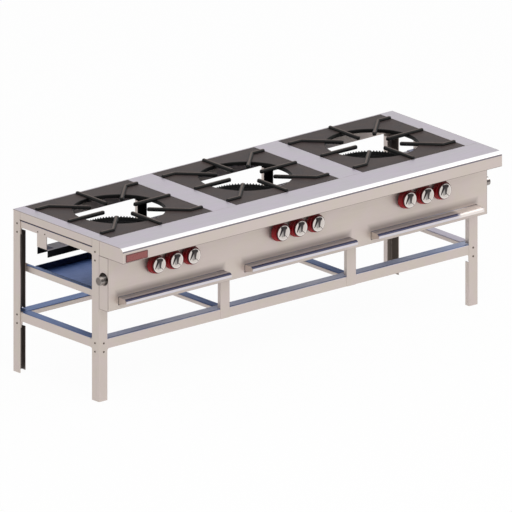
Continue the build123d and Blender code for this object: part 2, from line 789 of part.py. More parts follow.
# ---------------------------------------------------------------- screws
def side_screws(side):
    """Returns the screws of one side: in pairs on the legs, and two on the strap's rail."""
    heads = []
    depths = (SCREW_INSET, FRAME_DEPTH - SCREW_INSET)
    for rail_top in (UPPER_RAIL_TOP, LOW_RAIL_TOP):
        for z in (rail_top - SCREW_DROP, rail_top - SCREW_DROP - SCREW_PITCH):
            for depth in depths:
                heads.append(rod((side * SIDE, depth, z), (side, 0, 0), SCREW_RISE, SCREW_RADIUS))
    for z in (LOW_RAIL_TOP - SCREW_DROP, LOW_RAIL_TOP - SCREW_DROP - SCREW_PITCH):
        x = side * (SIDE - SCREW_INSET)
        heads.append(rod((x, FRAME_DEPTH, z), (0, -1, 0), SCREW_RISE, SCREW_RADIUS))
        heads.append(rod((x, 0, z), (0, 1, 0), SCREW_RISE, SCREW_RADIUS))
    z = UPPER_RAIL_TOP - UPPER_RAIL_FACE + STRAP_SCREW_UP
    for forward in (-STRAP_SCREW_PITCH / 2, STRAP_SCREW_PITCH / 2):
        start = (side * (SIDE - WALL), SUPPORT_DEPTH + forward, z)
        heads.append(rod(start, (side, 0, 0), SCREW_RISE, STRAP_SCREW_RADIUS))
    return heads


keep("screws", *side_screws(-1), *side_screws(1))
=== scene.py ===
"""Looks of a three-station wok range: finishes, cast and turned pieces, light and camera.

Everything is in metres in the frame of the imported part: +Z up, -Y to the front, and the
middle of the footprint on the floor at the origin.
"""

from __future__ import annotations

import json
import logging
import math
from dataclasses import dataclass
from enum import Enum
from typing import Any, Iterable, Sequence

import bmesh
import bpy
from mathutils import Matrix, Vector

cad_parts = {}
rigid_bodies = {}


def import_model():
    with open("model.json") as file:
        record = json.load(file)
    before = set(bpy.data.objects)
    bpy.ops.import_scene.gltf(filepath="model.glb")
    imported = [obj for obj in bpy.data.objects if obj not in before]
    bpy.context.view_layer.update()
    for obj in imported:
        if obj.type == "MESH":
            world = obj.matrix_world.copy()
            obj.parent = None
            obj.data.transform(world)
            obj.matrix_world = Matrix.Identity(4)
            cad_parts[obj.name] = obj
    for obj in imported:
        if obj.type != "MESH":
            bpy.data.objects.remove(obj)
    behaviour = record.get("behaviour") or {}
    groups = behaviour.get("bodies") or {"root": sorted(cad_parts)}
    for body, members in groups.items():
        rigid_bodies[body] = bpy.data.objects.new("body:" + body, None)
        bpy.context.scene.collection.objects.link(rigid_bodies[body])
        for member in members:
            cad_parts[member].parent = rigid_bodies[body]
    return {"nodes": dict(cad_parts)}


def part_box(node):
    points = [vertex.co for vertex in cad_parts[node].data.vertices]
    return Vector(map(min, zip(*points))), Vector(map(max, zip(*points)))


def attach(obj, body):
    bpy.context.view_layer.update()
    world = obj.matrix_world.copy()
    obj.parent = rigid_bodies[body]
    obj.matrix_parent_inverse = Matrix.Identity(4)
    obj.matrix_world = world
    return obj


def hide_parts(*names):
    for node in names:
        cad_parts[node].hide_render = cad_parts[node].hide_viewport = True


LOG = logging.getLogger("wok_range")
MM = 0.001
STATIONS = ("left", "middle", "right")
PLACES = ("a", "b", "c")

Socket = bpy.types.NodeSocket
Piece = bpy.types.Object
Finish = bpy.types.Material
Nodes = dict[str, bpy.types.Object]
Spot = tuple[float, float, float]
Pair = tuple[float, float]

# The node types that most patterns use.
MATH, VECTOR, RANGE = "ShaderNodeMath", "ShaderNodeVectorMath", "ShaderNodeMapRange"
SPLIT, COMBINE = "ShaderNodeSeparateXYZ", "ShaderNodeCombineXYZ"
# The numbers of Map Range's ends, and of Mix's two colours.
FROM_LOW, FROM_HIGH, TO_LOW, TO_HIGH = 1, 2, 3, 4
UNDER, OVER = 6, 7
# The part of a noise's values that a pattern uses: the middle of them, or all.
MIDDLE, WHOLE = (0.3, 0.7), (0.0, 1.0)
# The stretch of a pattern that runs no way in particular.
EVEN = (1.0, 1.0, 1.0)
# Distances that take a block of space past the range: along it, and across or up it.
WIDE, TALL = 2.0, 1.0


# ---------------------------------------------------------------- small tools


def linear(colour: str) -> tuple[float, float, float, float]:
    """Turns an sRGB hex colour to linear light.

    Args:
        colour: six hex digits after a hash.

    Returns:
        Linear red, green, blue and an alpha of 1.
    """
    parts = [int(colour[i : i + 2], 16) / 255 for i in (1, 3, 5)]
    red, green, blue = (c / 12.92 if c <= 0.04045 else ((c + 0.055) / 1.055) ** 2.4 for c in parts)
    return red, green, blue, 1.0


def add_node(
    tree: bpy.types.NodeTree,
    kind: str,
    settings: dict[Any, Any] | None = None,
    links: dict[Any, Socket] | None = None,
) -> bpy.types.Node:
    """Adds one node with its settings and links.

    Args:
        tree: the tree that gets the node.
        kind: the node's type name.
        settings: values by property name, or else by input name or number.
        links: sockets to join to the node's inputs, by input name or number.

    Returns:
        The new node.
    """
    node = tree.nodes.new(kind)
    for key, value in (settings or {}).items():
        if isinstance(key, str) and hasattr(node, key):
            setattr(node, key, value)
        else:
            node.inputs[key].default_value = value
    for key, source in (links or {}).items():
        tree.links.new(source, node.inputs[key])
    return node


def new_object(name: str, mesh: bpy.types.Mesh) -> Piece:
    """Links a new object for a mesh, at the origin.

    Args:
        name: the object's name.
        mesh: its mesh, with its place in it.

    Returns:
        The object.
    """
    made = bpy.data.objects.new(name, mesh)
    bpy.context.scene.collection.objects.link(made)
    return made


def dress(piece: Piece, finish: Finish) -> None:
    """Gives a piece one material in all its slots.

    Args:
        piece: the object to dress.
        finish: its material.
    """
    if not piece.material_slots:
        piece.data.materials.append(finish)
    for place in piece.material_slots:
        place.material = finish


# ---------------------------------------------------------------- how a finish is painted


class Grain(Enum):
    """The way that a surface was brushed, as how much each axis counts."""

    ALONG_X = (0.03, 1.0, 1.0)
    ALONG_Y = (1.0, 0.03, 1.0)
    ALONG_Z = (1.0, 1.0, 0.03)


class Facing(Enum):
    """Which faces a tone reaches, as the height of their normal where it starts and is full."""

    LEVEL = (0.45, 0.85)
    SLOPED = (0.995, 0.90)


@dataclass(frozen=True)
class Shade:
    """A block of space, soft inside its edges, in which a surface takes another tone."""

    tone: str
    low: Spot
    high: Spot
    fade: Spot = (1.0 * MM, 1.0 * MM, 1.0 * MM)
    share: float = 1.0
    facing: Facing | None = None
    both_ends: bool = False


@dataclass(frozen=True)
class Band:
    """A tone on a rounded edge, between two angles that its normal makes above level."""

    tone: str
    start: float
    end: float
    share: float = 1.0


@dataclass(frozen=True)
class Roll:
    """A rounded edge along X, faced forward, with bands of painted highlight and reflection.

    The bands reach only its skin, from one depth to a lesser one, and fade over some degrees.
    """

    y: float
    z: float
    radius: float
    bands: tuple[Band, ...]
    skin: Pair = (1.2 * MM, 0.6 * MM)
    soft: float = 5.0


@dataclass(frozen=True)
class Stroke:
    """A tapering dark line of painted reflection on a knob's face, in units of the face's radius.

    Its edge fades from one multiple of its width to a lesser one.
    """

    start: Pair
    end: Pair
    widths: Pair
    tone: str
    share: float = 1.0
    edge: Pair = (1.25, 0.65)


@dataclass(frozen=True)
class Texture:
    """A fine grain of a real size, which makes the gloss uneven and raises a relief.

    The share is how much of the relief shows, the detail how many finer layers the grain has,
    and the spread how far the roughness goes below and above its usual value.
    """

    size_mm: float
    deep_mm: float
    share: float
    detail: float
    spread: Pair


class Surface:
    """A new material under one principled shader, painted in coats over a ground colour."""

    def __init__(self, name: str, ground: str) -> None:
        """Makes the material.

        Args:
            name: the material's name.
            ground: the colour under all its coats.
        """
        self.material = bpy.data.materials.new(name)
        self.material.use_nodes = True
        self.tree = self.material.node_tree
        self.tree.nodes.clear()
        self.shader = add_node(self.tree, "ShaderNodeBsdfPrincipled")
        add_node(self.tree, "ShaderNodeOutputMaterial", {}, {"Surface": self.shader.outputs[0]})
        self.place = add_node(self.tree, "ShaderNodeTexCoord").outputs["Object"]
        self.axes = add_node(self.tree, SPLIT, {}, {0: self.place}).outputs
        side = add_node(self.tree, MATH, {"operation": "ABSOLUTE"}, {0: self.axes["X"]})
        arm = {"X": side.outputs[0], "Y": self.axes["Y"], "Z": self.axes["Z"]}
        self.folded = add_node(self.tree, COMBINE, {}, arm).outputs[0]
        self.ground = ground
        self.colour: Socket | None = None

    def join(self, source: Socket, target: str) -> None:
        """Links a socket to one of the shader's inputs."""
        self.tree.links.new(source, self.shader.inputs[target])

    def settle(self, **values: float) -> None:
        """Sets numbers on the shader, with the spaces of an input's name as underscores."""
        for key, value in values.items():
            self.shader.inputs[key.replace("_", " ")].default_value = value

    def coat(self, tone: str, mask: Socket) -> None:
        """Paints a tone over the coats so far.

        Args:
            tone: its hex colour.
            mask: 1 where the tone covers and 0 where it doesn't.
        """
        settings = {"data_type": "RGBA", UNDER: linear(self.ground), OVER: linear(tone)}
        links = {0: mask} if self.colour is None else {0: mask, UNDER: self.colour}
        self.colour = add_node(self.tree, "ShaderNodeMix", settings, links).outputs[2]
        self.join(self.colour, "Base Color")

    def blotches(
        self,
        size_mm: float,
        detail: float = 2.0,
        reach: Pair = (0.35, 0.65),
        stretch: Spot = EVEN,
        made: Pair = WHOLE,
    ) -> Socket:
        """Makes a noise of a real size.

        Args:
            size_mm: the size of one blotch or grain.
            detail: how many finer layers it has.
            reach: the noise values that become the lowest and the highest.
            stretch: how much each axis counts.
            made: the lowest and the highest that come out.

        Returns:
            The noise's value.
        """
        scale = tuple(part / (size_mm * MM) for part in stretch)
        spread = add_node(self.tree, "ShaderNodeMapping", {"Scale": scale}, {"Vector": self.place})
        settings = {"Scale": 1.0, "Detail": detail}
        noise = add_node(self.tree, "ShaderNodeTexNoise", settings, {"Vector": spread.outputs[0]})
        ends = dict(zip((FROM_LOW, FROM_HIGH, TO_LOW, TO_HIGH), (*reach, *made)))
        return add_node(self.tree, RANGE, ends, {0: noise.outputs[0]}).outputs[0]

    def faces(self, facing: Facing, mask: Socket | None = None) -> Socket:
        """Finds the faces that lie one way, within a mask where one is given.

        Args:
            facing: which faces.
            mask: what they are taken from.

        Returns:
            A mask of those faces.
        """
        normal = add_node(self.tree, "ShaderNodeNewGeometry").outputs["Normal"]
        height = add_node(self.tree, SPLIT, {}, {0: normal}).outputs["Z"]
        ends = {FROM_LOW: facing.value[0], FROM_HIGH: facing.value[1]}
        found = add_node(self.tree, RANGE, ends, {0: height}).outputs[0]
        if mask is None:
            return found
        both = {0: found, 1: mask}
        return add_node(self.tree, MATH, {"operation": "MULTIPLY"}, both).outputs[0]

    def shade(self, shade: Shade) -> None:
        """Paints one shade.

        Args:
            shade: its tone and its block of space.
        """
        centre = [(a + b) / 2 for a, b in zip(shade.low, shade.high)]
        half = [(b - a) / 2 for a, b in zip(shade.low, shade.high)]
        steps = (
            ("SUBTRACT", centre),
            ("ABSOLUTE", (0.0, 0.0, 0.0)),
            ("SUBTRACT", half),
            ("DIVIDE", shade.fade),
        )
        past = self.folded if shade.both_ends else self.place
        for operation, by in steps:
            settings = {"operation": operation, 1: by}
            past = add_node(self.tree, VECTOR, settings, {0: past}).outputs[0]
        most, *others = add_node(self.tree, SPLIT, {}, {0: past}).outputs
        for other in others:
            both = {0: most, 1: other}
            most = add_node(self.tree, MATH, {"operation": "MAXIMUM"}, both).outputs[0]
        ends = {FROM_LOW: 0.0, FROM_HIGH: -1.0, TO_HIGH: shade.share}
        mask = add_node(self.tree, RANGE, ends, {0: most}).outputs[0]
        self.coat(shade.tone, self.faces(shade.facing, mask) if shade.facing else mask)

    def roll(self, roll: Roll) -> None:
        """Paints the bands of a rounded edge.

        Args:
            roll: the edge.
        """
        tree = self.tree
        forward = add_node(tree, MATH, {"operation": "SUBTRACT", 0: roll.y}, {1: self.axes["Y"]})
        rise = add_node(tree, MATH, {"operation": "SUBTRACT", 1: roll.z}, {0: self.axes["Z"]})
        arm = {"X": forward.outputs[0], "Y": rise.outputs[0]}
        arm = add_node(tree, COMBINE, {}, arm).outputs[0]
        reach = add_node(tree, VECTOR, {"operation": "LENGTH"}, {0: arm}).outputs["Value"]
        ends = {FROM_LOW: roll.radius - roll.skin[0], FROM_HIGH: roll.radius - roll.skin[1]}
        skin = add_node(tree, RANGE, ends, {0: reach}).outputs[0]
        turn = {0: rise.outputs[0], 1: forward.outputs[0]}
        turn = add_node(tree, MATH, {"operation": "ARCTAN2"}, turn).outputs[0]
        for band in roll.bands:
            centre, half = (band.start + band.end) / 2, (band.end - band.start) / 2
            inner = half - min(roll.soft, half)
            off = {"operation": "SUBTRACT", 1: math.radians(centre)}
            off = add_node(tree, MATH, off, {0: turn}).outputs[0]
            away = add_node(tree, MATH, {"operation": "ABSOLUTE"}, {0: off}).outputs[0]
            ends = {FROM_LOW: math.radians(half), FROM_HIGH: math.radians(inner)}
            near = add_node(tree, RANGE, {**ends, TO_HIGH: band.share}, {0: away}).outputs[0]
            mask = add_node(tree, MATH, {"operation": "MULTIPLY"}, {0: near, 1: skin})
            self.coat(band.tone, mask.outputs[0])

    def marks(self, rolls: Iterable[Roll], shades: Iterable[Shade]) -> None:
        """Paints the rounded edges and then the blocks of space.

        Args:
            rolls: the edges, in order.
            shades: the blocks, in order.
        """
        for roll in rolls:
            self.roll(roll)
        for shade in shades:
            self.shade(shade)

    def stroke(self, stroke: Stroke, face: Socket) -> None:
        """Paints one tapering line.

        Args:
            stroke: the line.
            face: the place on the face, -1 to 1 across it.
        """
        tree = self.tree
        start = Vector((*stroke.start, 0.0))
        way = Vector((*stroke.end, 0.0)) - start
        arm = {"operation": "SUBTRACT", 1: start}
        arm = add_node(tree, VECTOR, arm, {0: face}).outputs[0]
        along = {"operation": "DOT_PRODUCT", 1: way / way.length_squared}
        along = add_node(tree, VECTOR, along, {0: arm}).outputs["Value"]
        part = add_node(tree, RANGE, {}, {0: along}).outputs[0]
        foot = {"operation": "SCALE", 0: way}
        foot = add_node(tree, VECTOR, foot, {"Scale": part}).outputs[0]
        gap = add_node(tree, VECTOR, {"operation": "DISTANCE"}, {0: arm, 1: foot}).outputs["Value"]
        ends = {TO_LOW: stroke.widths[0], TO_HIGH: stroke.widths[1]}
        wide = add_node(tree, RANGE, ends, {0: part}).outputs[0]
        near = add_node(tree, MATH, {"operation": "DIVIDE"}, {0: gap, 1: wide}).outputs[0]
        ends = {FROM_LOW: stroke.edge[0], FROM_HIGH: stroke.edge[1], TO_HIGH: stroke.share}
        self.coat(stroke.tone, add_node(tree, RANGE, ends, {0: near}).outputs[0])

    def bump(self, height: Socket, depth_mm: float, share: float) -> None:
        """Raises the surface by a pattern.

        Args:
            height: the pattern.
            depth_mm: its real depth.
            share: how much of it shows.
        """
        raised = {"Strength": share, "Distance": depth_mm * MM}
        raised = add_node(self.tree, "ShaderNodeBump", raised, {"Height": height})
        self.join(raised.outputs[0], "Normal")

    def texture(self, grain: Texture, roughness: float, stretch: Spot = EVEN) -> None:
        """Gives the surface its fine grain.

        Args:
            grain: the texture.
            roughness: the usual roughness.
            stretch: how much each axis counts.
        """
        rough = (roughness - grain.spread[0], roughness + grain.spread[1])
        self.join(
            self.blotches(grain.size_mm, grain.detail, MIDDLE, stretch, rough), "Roughness"
        )
        relief = self.blotches(grain.size_mm, grain.detail, WHOLE, stretch)
        self.bump(relief, grain.deep_mm, grain.share)


# ---------------------------------------------------------------- finishes


@dataclass(frozen=True)
class BrushedStainless:
    """Stainless steel, belt-brushed: a satin sheen, warm on upright faces and cool on level ones.

    The cool tone of level faces is a painted reflection. The rolled bends carry painted
    highlights and painted dark reflections, bluer than the flats beside them, and the edges show
    fine grey lines, dark joints where sheets meet and painted shade along the folds, both given
    as rolls and shades. The brushing is drawn coarser than the real 0.1 mm, so that it shows.
    """

    name: str
    upright: str = "#cdc2b9"
    upright_second: str = "#cec1bc"
    level: str = "#bbb6bd"
    level_second: str = "#bdb5c0"
    metallic: float = 0.7
    roughness: float = 0.42
    brushed: Grain = Grain.ALONG_X
    grain: Texture = Texture(2.4, 0.03, 0.35, 2.0, (0.07, 0.07))
    blotch_mm: float = 60.0
    blotch_detail: float = 3.0
    blotch_reach: Pair = (0.38, 0.62)
    shades: tuple[Shade, ...] = ()
    rolls: tuple[Roll, ...] = ()

    def build(self) -> Finish:
        """Paints the finish.

        Returns:
            The material.
        """
        surface = Surface(self.name, self.upright)
        blotch = surface.blotches(self.blotch_mm, self.blotch_detail, self.blotch_reach)
        surface.coat(self.upright_second, blotch)
        # Level faces take a cooler painted reflection.
        surface.coat(self.level, surface.faces(Facing.LEVEL))
        surface.coat(self.level_second, surface.faces(Facing.LEVEL, blotch))
        surface.marks(self.rolls, self.shades)
        surface.texture(self.grain, self.roughness, self.brushed.value)
        surface.settle(Metallic=self.metallic)
        return surface.material


@dataclass(frozen=True)
class SeasonedCastIron:
    """Sand-cast iron under baked oil: a fine grit, painted shade on the sides, and lighter crests.

    The sand's grit is drawn coarser than the real 0.5 mm, so that it shows.
    """

    name: str
    crest_from: float
    crest_over: float = 1.5 * MM
    level: str = "#3d302d"
    level_second: str = "#362c2c"
    upright: str = "#020202"
    crest_tone: str = "#5c4f49"
    blotch_mm: float = 45.0
    blotch_detail: float = 3.0
    roughness: float = 0.52
    gloss: float = 0.25
    grit: Texture = Texture(2.2, 0.35, 0.5, 4.0, (0.08, 0.12))

    def build(self) -> Finish:
        """Paints the finish, with the crest colour from a height above the floor.

        Returns:
            The material.
        """
        surface = Surface(self.name, self.level)
        surface.coat(self.level_second, surface.blotches(self.blotch_mm, self.blotch_detail))
        ends = {FROM_LOW: self.crest_from, FROM_HIGH: self.crest_from + self.crest_over}
        raised = add_node(surface.tree, RANGE, ends, {0: surface.axes["Z"]})
        surface.coat(self.crest_tone, raised.outputs[0])
        # Sloped and upright faces are near black: painted shade.
        surface.coat(self.upright, surface.faces(Facing.SLOPED))
        surface.texture(self.grit, self.roughness)
        surface.settle(Specular_IOR_Level=self.gloss)
        return surface.material


@dataclass(frozen=True)
class PlainSurface:
    """A cast, fired, rolled, drawn, turned or plated surface: a colour with soft blotches.

    Its grit is drawn coarser than a real one, so that it shows.
    """

    name: str
    colour: str
    second: str
    metallic: float = 0.0
    roughness: float = 0.35
    coat: float = 0.0
    coat_rough: float = 0.12
    grit: Texture = Texture(3.0, 0.05, 0.4, 3.0, (0.05, 0.06))
    blotch_mm: float = 25.0
    level: str | None = None
    shades: tuple[Shade, ...] = ()
    rolls: tuple[Roll, ...] = ()

    def build(self) -> Finish:
        """Paints the finish.

        Returns:
            The material.
        """
        surface = Surface(self.name, self.colour)
        surface.coat(self.second, surface.blotches(self.blotch_mm))
        if self.level is not None:
            surface.coat(self.level, surface.faces(Facing.LEVEL))
        surface.marks(self.rolls, self.shades)
        surface.texture(self.grit, self.roughness)
        surface.settle(
            Metallic=self.metallic, Coat_Weight=self.coat, Coat_Roughness=self.coat_rough
        )
        return surface.material


@dataclass(frozen=True)
class MouldedPhenolic:
    """Glossy moulded phenolic: a deep red, brighter low on the skirt and near black at the neck.

    The brighter red low down is painted light, and the darker red above it and the near black at
    the neck are painted shade. The rise is where the skirt darkens, in units of its radius, and
    the neck starts at a share of the knob's depth.
    """

    name: str = "moulded_phenolic"
    low: str = "#a00c19"
    high: str = "#68080f"
    rise: Pair = (-0.55, 0.55)
    neck: str = "#4c060c"
    neck_from: float = 0.80
    neck_over: float = 0.04
    ripple_mm: float = 8.0
    ripple_deep: float = 0.02
    ripple_share: float = 0.2
    rough: Pair = (0.34, 0.42)
    gloss: float = 0.3
    coat: float = 0.12
    coat_rough: float = 0.15

    def build(self) -> Finish:
        """Paints the finish in the body's two UV maps.

        Returns:
            The material.
        """
        surface = Surface(self.name, self.low)
        tree = surface.tree
        # The darker red above and the near-black neck are painted shade.
        coats = (
            (self.high, "face", self.rise),
            (self.neck, "side", (self.neck_from - self.neck_over, self.neck_from)),
        )
        for tone, uv_map, (start, full) in coats:
            spot = add_node(tree, "ShaderNodeUVMap", {"uv_map": uv_map}).outputs[0]
            reach = add_node(tree, SPLIT, {}, {0: spot}).outputs["Y"]
            mask = add_node(tree, RANGE, {FROM_LOW: start, FROM_HIGH: full}, {0: reach})
            surface.coat(tone, mask.outputs[0])
        surface.join(surface.blotches(self.ripple_mm, 3.0, MIDDLE, made=self.rough), "Roughness")
        ripple = surface.blotches(self.ripple_mm, reach=WHOLE)
        surface.bump(ripple, self.ripple_deep, self.ripple_share)
        surface.settle(
            Specular_IOR_Level=self.gloss, Coat_Weight=self.coat, Coat_Roughness=self.coat_rough
        )
        return surface.material


@dataclass(frozen=True)
class TurnedChrome:
    """Chromed brass turned on a lathe: bright, with fine rings and a forked dark pointer.

    The paler rim is a painted highlight, and the pointer's dark strokes are a painted reflection.
    The rings are drawn coarser than the real 0.2 mm, so that they show.
    """

    name: str = "turned_chrome"
    bright: str = "#d2cac4"
    rim: str = "#dfd8d3"
    rim_from: Pair = (0.80, 0.88)
    face_mm: float = 28.5
    ring_mm: float = 1.1
    ring_deep: float = 0.02
    ring_share: float = 0.25
    roughness: float = 0.22
    strokes: tuple[Stroke, ...] = (
        Stroke((0.06, 0.55), (-0.16, -0.30), (0.42, 0.26), "#8b8785", 0.75),
        Stroke((-0.34, 0.76), (0.40, 0.60), (0.17, 0.20), "#2a2728"),
        Stroke((-0.16, 0.62), (-0.68, -0.36), (0.24, 0.07), "#2a2728"),
        Stroke((0.14, 0.60), (0.12, -0.40), (0.30, 0.11), "#3b3737", 0.92),
        Stroke((0.23, -0.36), (0.60, -0.74), (0.05, 0.03), "#6a6462"),
    )

    def build(self) -> Finish:
        """Paints the finish in the piece's own UV map, -1 to 1 across the face.

        Returns:
            The material.
        """
        surface = Surface(self.name, self.bright)
        tree = surface.tree
        face = add_node(tree, "ShaderNodeUVMap", {"uv_map": "face"}).outputs[0]
        reach = add_node(tree, VECTOR, {"operation": "LENGTH"}, {0: face}).outputs["Value"]
        # The paler rim is a painted highlight.
        ends = {FROM_LOW: self.rim_from[0], FROM_HIGH: self.rim_from[1]}
        surface.coat(self.rim, add_node(tree, RANGE, ends, {0: reach}).outputs[0])
        # The dark strokes are a painted reflection, and they read as a pointer.
        for stroke in self.strokes:
            surface.stroke(stroke, face)
        turns = {"operation": "MULTIPLY", 1: self.face_mm / self.ring_mm * math.tau}
        turns = add_node(tree, MATH, turns, {0: reach}).outputs[0]
        wave = add_node(tree, MATH, {"operation": "SINE"}, {0: turns})
        surface.bump(wave.outputs[0], self.ring_deep, self.ring_share)
        surface.settle(Metallic=1.0, Roughness=self.roughness)
        return surface.material


# ---------------------------------------------------------------- geometry trees


class Kind(Enum):
    """The kinds of input that a geometry tree has."""

    LENGTH = "NodeSocketFloat"
    COUNT = "NodeSocketInt"
    POINT = "NodeSocketVector"
    FINISH = "NodeSocketMaterial"


class SizedTree:
    """A geometry tree with named inputs for its sizes, run once on a source mesh."""

    def __init__(self, name: str, inputs: dict[str, Kind]) -> None:
        """Makes the tree and its sockets.

        Args:
            name: the tree's name.
            inputs: the kind of each input, by its name.
        """
        self.tree = bpy.data.node_groups.new(name, "GeometryNodeTree")
        face = self.tree.interface
        face.new_socket("Mesh", in_out="INPUT", socket_type="NodeSocketGeometry")
        self.ids = {}
        for label, kind in inputs.items():
            made = face.new_socket(label, in_out="INPUT", socket_type=kind.value)
            self.ids[label] = made.identifier
        face.new_socket("Mesh", in_out="OUTPUT", socket_type="NodeSocketGeometry")
        self.given = add_node(self.tree, "NodeGroupInput").outputs

    def close(self, shape: Socket) -> None:
        """Ends the tree with real meshes in their finish.

        Args:
            shape: what the tree has made.
        """
        real = add_node(self.tree, "GeometryNodeRealizeInstances", {}, {0: shape}).outputs[0]
        links = {"Geometry": real, "Material": self.given["Finish"]}
        dressed = add_node(self.tree, "GeometryNodeSetMaterial", {}, links)
        add_node(self.tree, "NodeGroupOutput", {}, {0: dressed.outputs[0]})

    def run(self, name: str, source: bpy.types.Mesh, values: dict[str, Any]) -> Piece:
        """Runs the tree once and keeps its result as a plain mesh.

        Args:
            name: the new object's name.
            source: the mesh that the tree starts from.
            values: each input's value, by its name.

        Returns:
            The object with the finished mesh.
        """
        worker = new_object(name + "_source", source)
        modifier = worker.modifiers.new(self.tree.name, "NODES")
        modifier.node_group = self.tree
        for label, value in values.items():
            modifier[self.ids[label]] = value
        graph = bpy.context.evaluated_depsgraph_get()
        mesh = bpy.data.meshes.new_from_object(worker.evaluated_get(graph), depsgraph=graph)
        worker.modifiers.remove(modifier)
        bpy.data.objects.remove(worker)
        mesh.name = name
        return new_object(name, mesh)


class RingOfPosts(SizedTree):
    """Tapered posts that stand in a ring, such as a burner's teeth or its jets."""

    def __init__(self) -> None:
        """Builds the tree."""
        lengths = dict.fromkeys(("Ring Radius", "Foot", "Tip", "Height"), Kind.LENGTH)
        counts = dict.fromkeys(("Posts", "Sides"), Kind.COUNT)
        others = {"Centre": Kind.POINT, "Finish": Kind.FINISH}
        super().__init__("ring_of_posts", lengths | counts | others)
        given = self.given
        ring = {"Vertices": given["Posts"], "Radius": given["Ring Radius"]}
        ring = add_node(self.tree, "GeometryNodeMeshCircle", {}, ring).outputs[0]
        post = {
            "Vertices": given["Sides"],
            "Radius Top": given["Tip"],
            "Radius Bottom": given["Foot"],
            "Depth": given["Height"],
        }
        post = add_node(self.tree, "GeometryNodeMeshCone", {}, post).outputs[0]
        spot = add_node(self.tree, "GeometryNodeInputPosition").outputs[0]
        turn = {"axis": "X", "pivot_axis": "Z"}
        turn = add_node(self.tree, "FunctionNodeAlignRotationToVector", turn, {"Vector": spot})
        posts = {"Points": ring, "Instance": post, "Rotation": turn.outputs[0]}
        posts = add_node(self.tree, "GeometryNodeInstanceOnPoints", {}, posts).outputs[0]
        moved = {"Geometry": posts, "Translation": given["Centre"]}
        self.close(add_node(self.tree, "GeometryNodeTransform", {}, moved).outputs[0])


class HeadsOnPoints(SizedTree):
    """Screw heads with a cross recess, one at each vertex of the source.

    The vertex holds the head's facing and its size as attributes, so one tree makes both
    kinds of screw.
    """

    SIDES = 20
    TAPER = 0.72

    def __init__(self) -> None:
        """Builds the tree."""
        lengths = dict.fromkeys(("Radius", "Rise", "Slot"), Kind.LENGTH)
        super().__init__("heads_on_points", {**lengths, "Finish": Kind.FINISH})
        tree, given = self.tree, self.given
        slim = {"operation": "MULTIPLY", 1: self.TAPER}
        slim = add_node(tree, MATH, slim, {0: given["Radius"]}).outputs[0]
        rim = {"Radius Top": slim, "Radius Bottom": given["Radius"], "Depth": given["Rise"]}
        rim = add_node(tree, "GeometryNodeMeshCone", {"Vertices": self.SIDES}, rim)
        size = {"X": given["Radius"], "Y": given["Slot"], "Z": given["Slot"]}
        size = add_node(tree, COMBINE, {}, size).outputs[0]
        bar = add_node(tree, "GeometryNodeMeshCube", {}, {"Size": size}).outputs[0]
        lift = add_node(tree, COMBINE, {}, {"Z": given["Rise"]}).outputs[0]
        head = add_node(tree, "GeometryNodeJoinGeometry", {}, {0: rim.outputs[0]})
        for quarter in (0.0, math.pi / 2):
            turned = {"Geometry": bar, "Translation": lift}
            turn = {"Rotation": (0.0, 0.0, quarter)}
            turned = add_node(tree, "GeometryNodeTransform", turn, turned)
            tree.links.new(turned.outputs[0], head.inputs[0])
        facing = {"data_type": "FLOAT_VECTOR", "Name": "facing"}
        facing = add_node(tree, "GeometryNodeInputNamedAttribute", facing).outputs["Attribute"]
        turn = {"axis": "Z"}
        turn = add_node(tree, "FunctionNodeAlignRotationToVector", turn, {"Vector": facing})
        share = {"data_type": "FLOAT", "Name": "size"}
        share = add_node(tree, "GeometryNodeInputNamedAttribute", share).outputs["Attribute"]
        spread = {
            "Points": given["Mesh"],
            "Instance": head.outputs[0],
            "Rotation": turn.outputs[0],
            "Scale": share,
        }
        self.close(add_node(tree, "GeometryNodeInstanceOnPoints", {}, spread).outputs[0])


# ---------------------------------------------------------------- seam lines and painted fold shade


@dataclass(frozen=True)
class SeamsAndFoldShade:
    """Fine dark lines: joints where sheets meet, painted shade along folds and under the ledge."""

    tone: str = "#7a6e69"
    gap: str = "#6b5c58"
    wide: float = 3.0 * MM
    corner_wide: float = 3.6 * MM
    gap_wide: float = 4.6 * MM
    soft: float = 0.7 * MM
    nose_deep: float = 20.0 * MM
    leg_wide: float = 40.0 * MM

    def line(
        self, start: Spot, end: Spot, tone: str | None = None, wide: float | None = None
    ) -> Shade:
        """Makes one line along an axis.

        Args:
            start: its end with the lower numbers, with x as its distance from the middle.
            end: its other end.
            tone: its colour, where it isn't the usual one.
            wide: its width, where it isn't the usual one.

        Returns:
            The line as a shade.
        """
        half = (wide or self.wide) / 2
        low = tuple(part - half for part in start)
        high = tuple(part + half for part in end)
        return Shade(tone or self.tone, low, high, (self.soft,) * 3, both_ends=True)

    def lines(self) -> tuple[Shade, ...]:
        """Draws the lines where the parts' boxes meet.

        Returns:
            All the lines.
        """
        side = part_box("worktop")[1].x
        leg_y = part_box("leg_front_left")[0].y
        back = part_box("leg_back_left")[1].y
        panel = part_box("control_panel")[0]
        ledge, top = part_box("front_ledge")
        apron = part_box("side_aprons")[0].z
        open_gap = (
            (side, leg_y + self.leg_wide, apron),
            (side, back - self.leg_wide, apron),
        )
        return (
            self.line((side, leg_y, 0.0), (side, leg_y, panel.z)),
            self.line((side, leg_y, panel.z), (side, leg_y, ledge.z), wide=self.corner_wide),
            self.line((side, panel.y, panel.z), (side, panel.y, ledge.z)),
            self.line((side, panel.y, panel.z), (side, leg_y, panel.z)),
            self.line((0.0, panel.y, panel.z), (side, panel.y, panel.z)),
            self.line((side, ledge.y, ledge.z), (side, leg_y, ledge.z), wide=self.corner_wide),
            self.line((0.0, ledge.y, ledge.z), (side, ledge.y, ledge.z)),
            self.line((side, ledge.y + self.nose_deep, top.z), (side, back, top.z)),
            self.line(*open_gap, self.gap, self.gap_wide),
        )


# ---------------------------------------------------------------- sub-assemblies


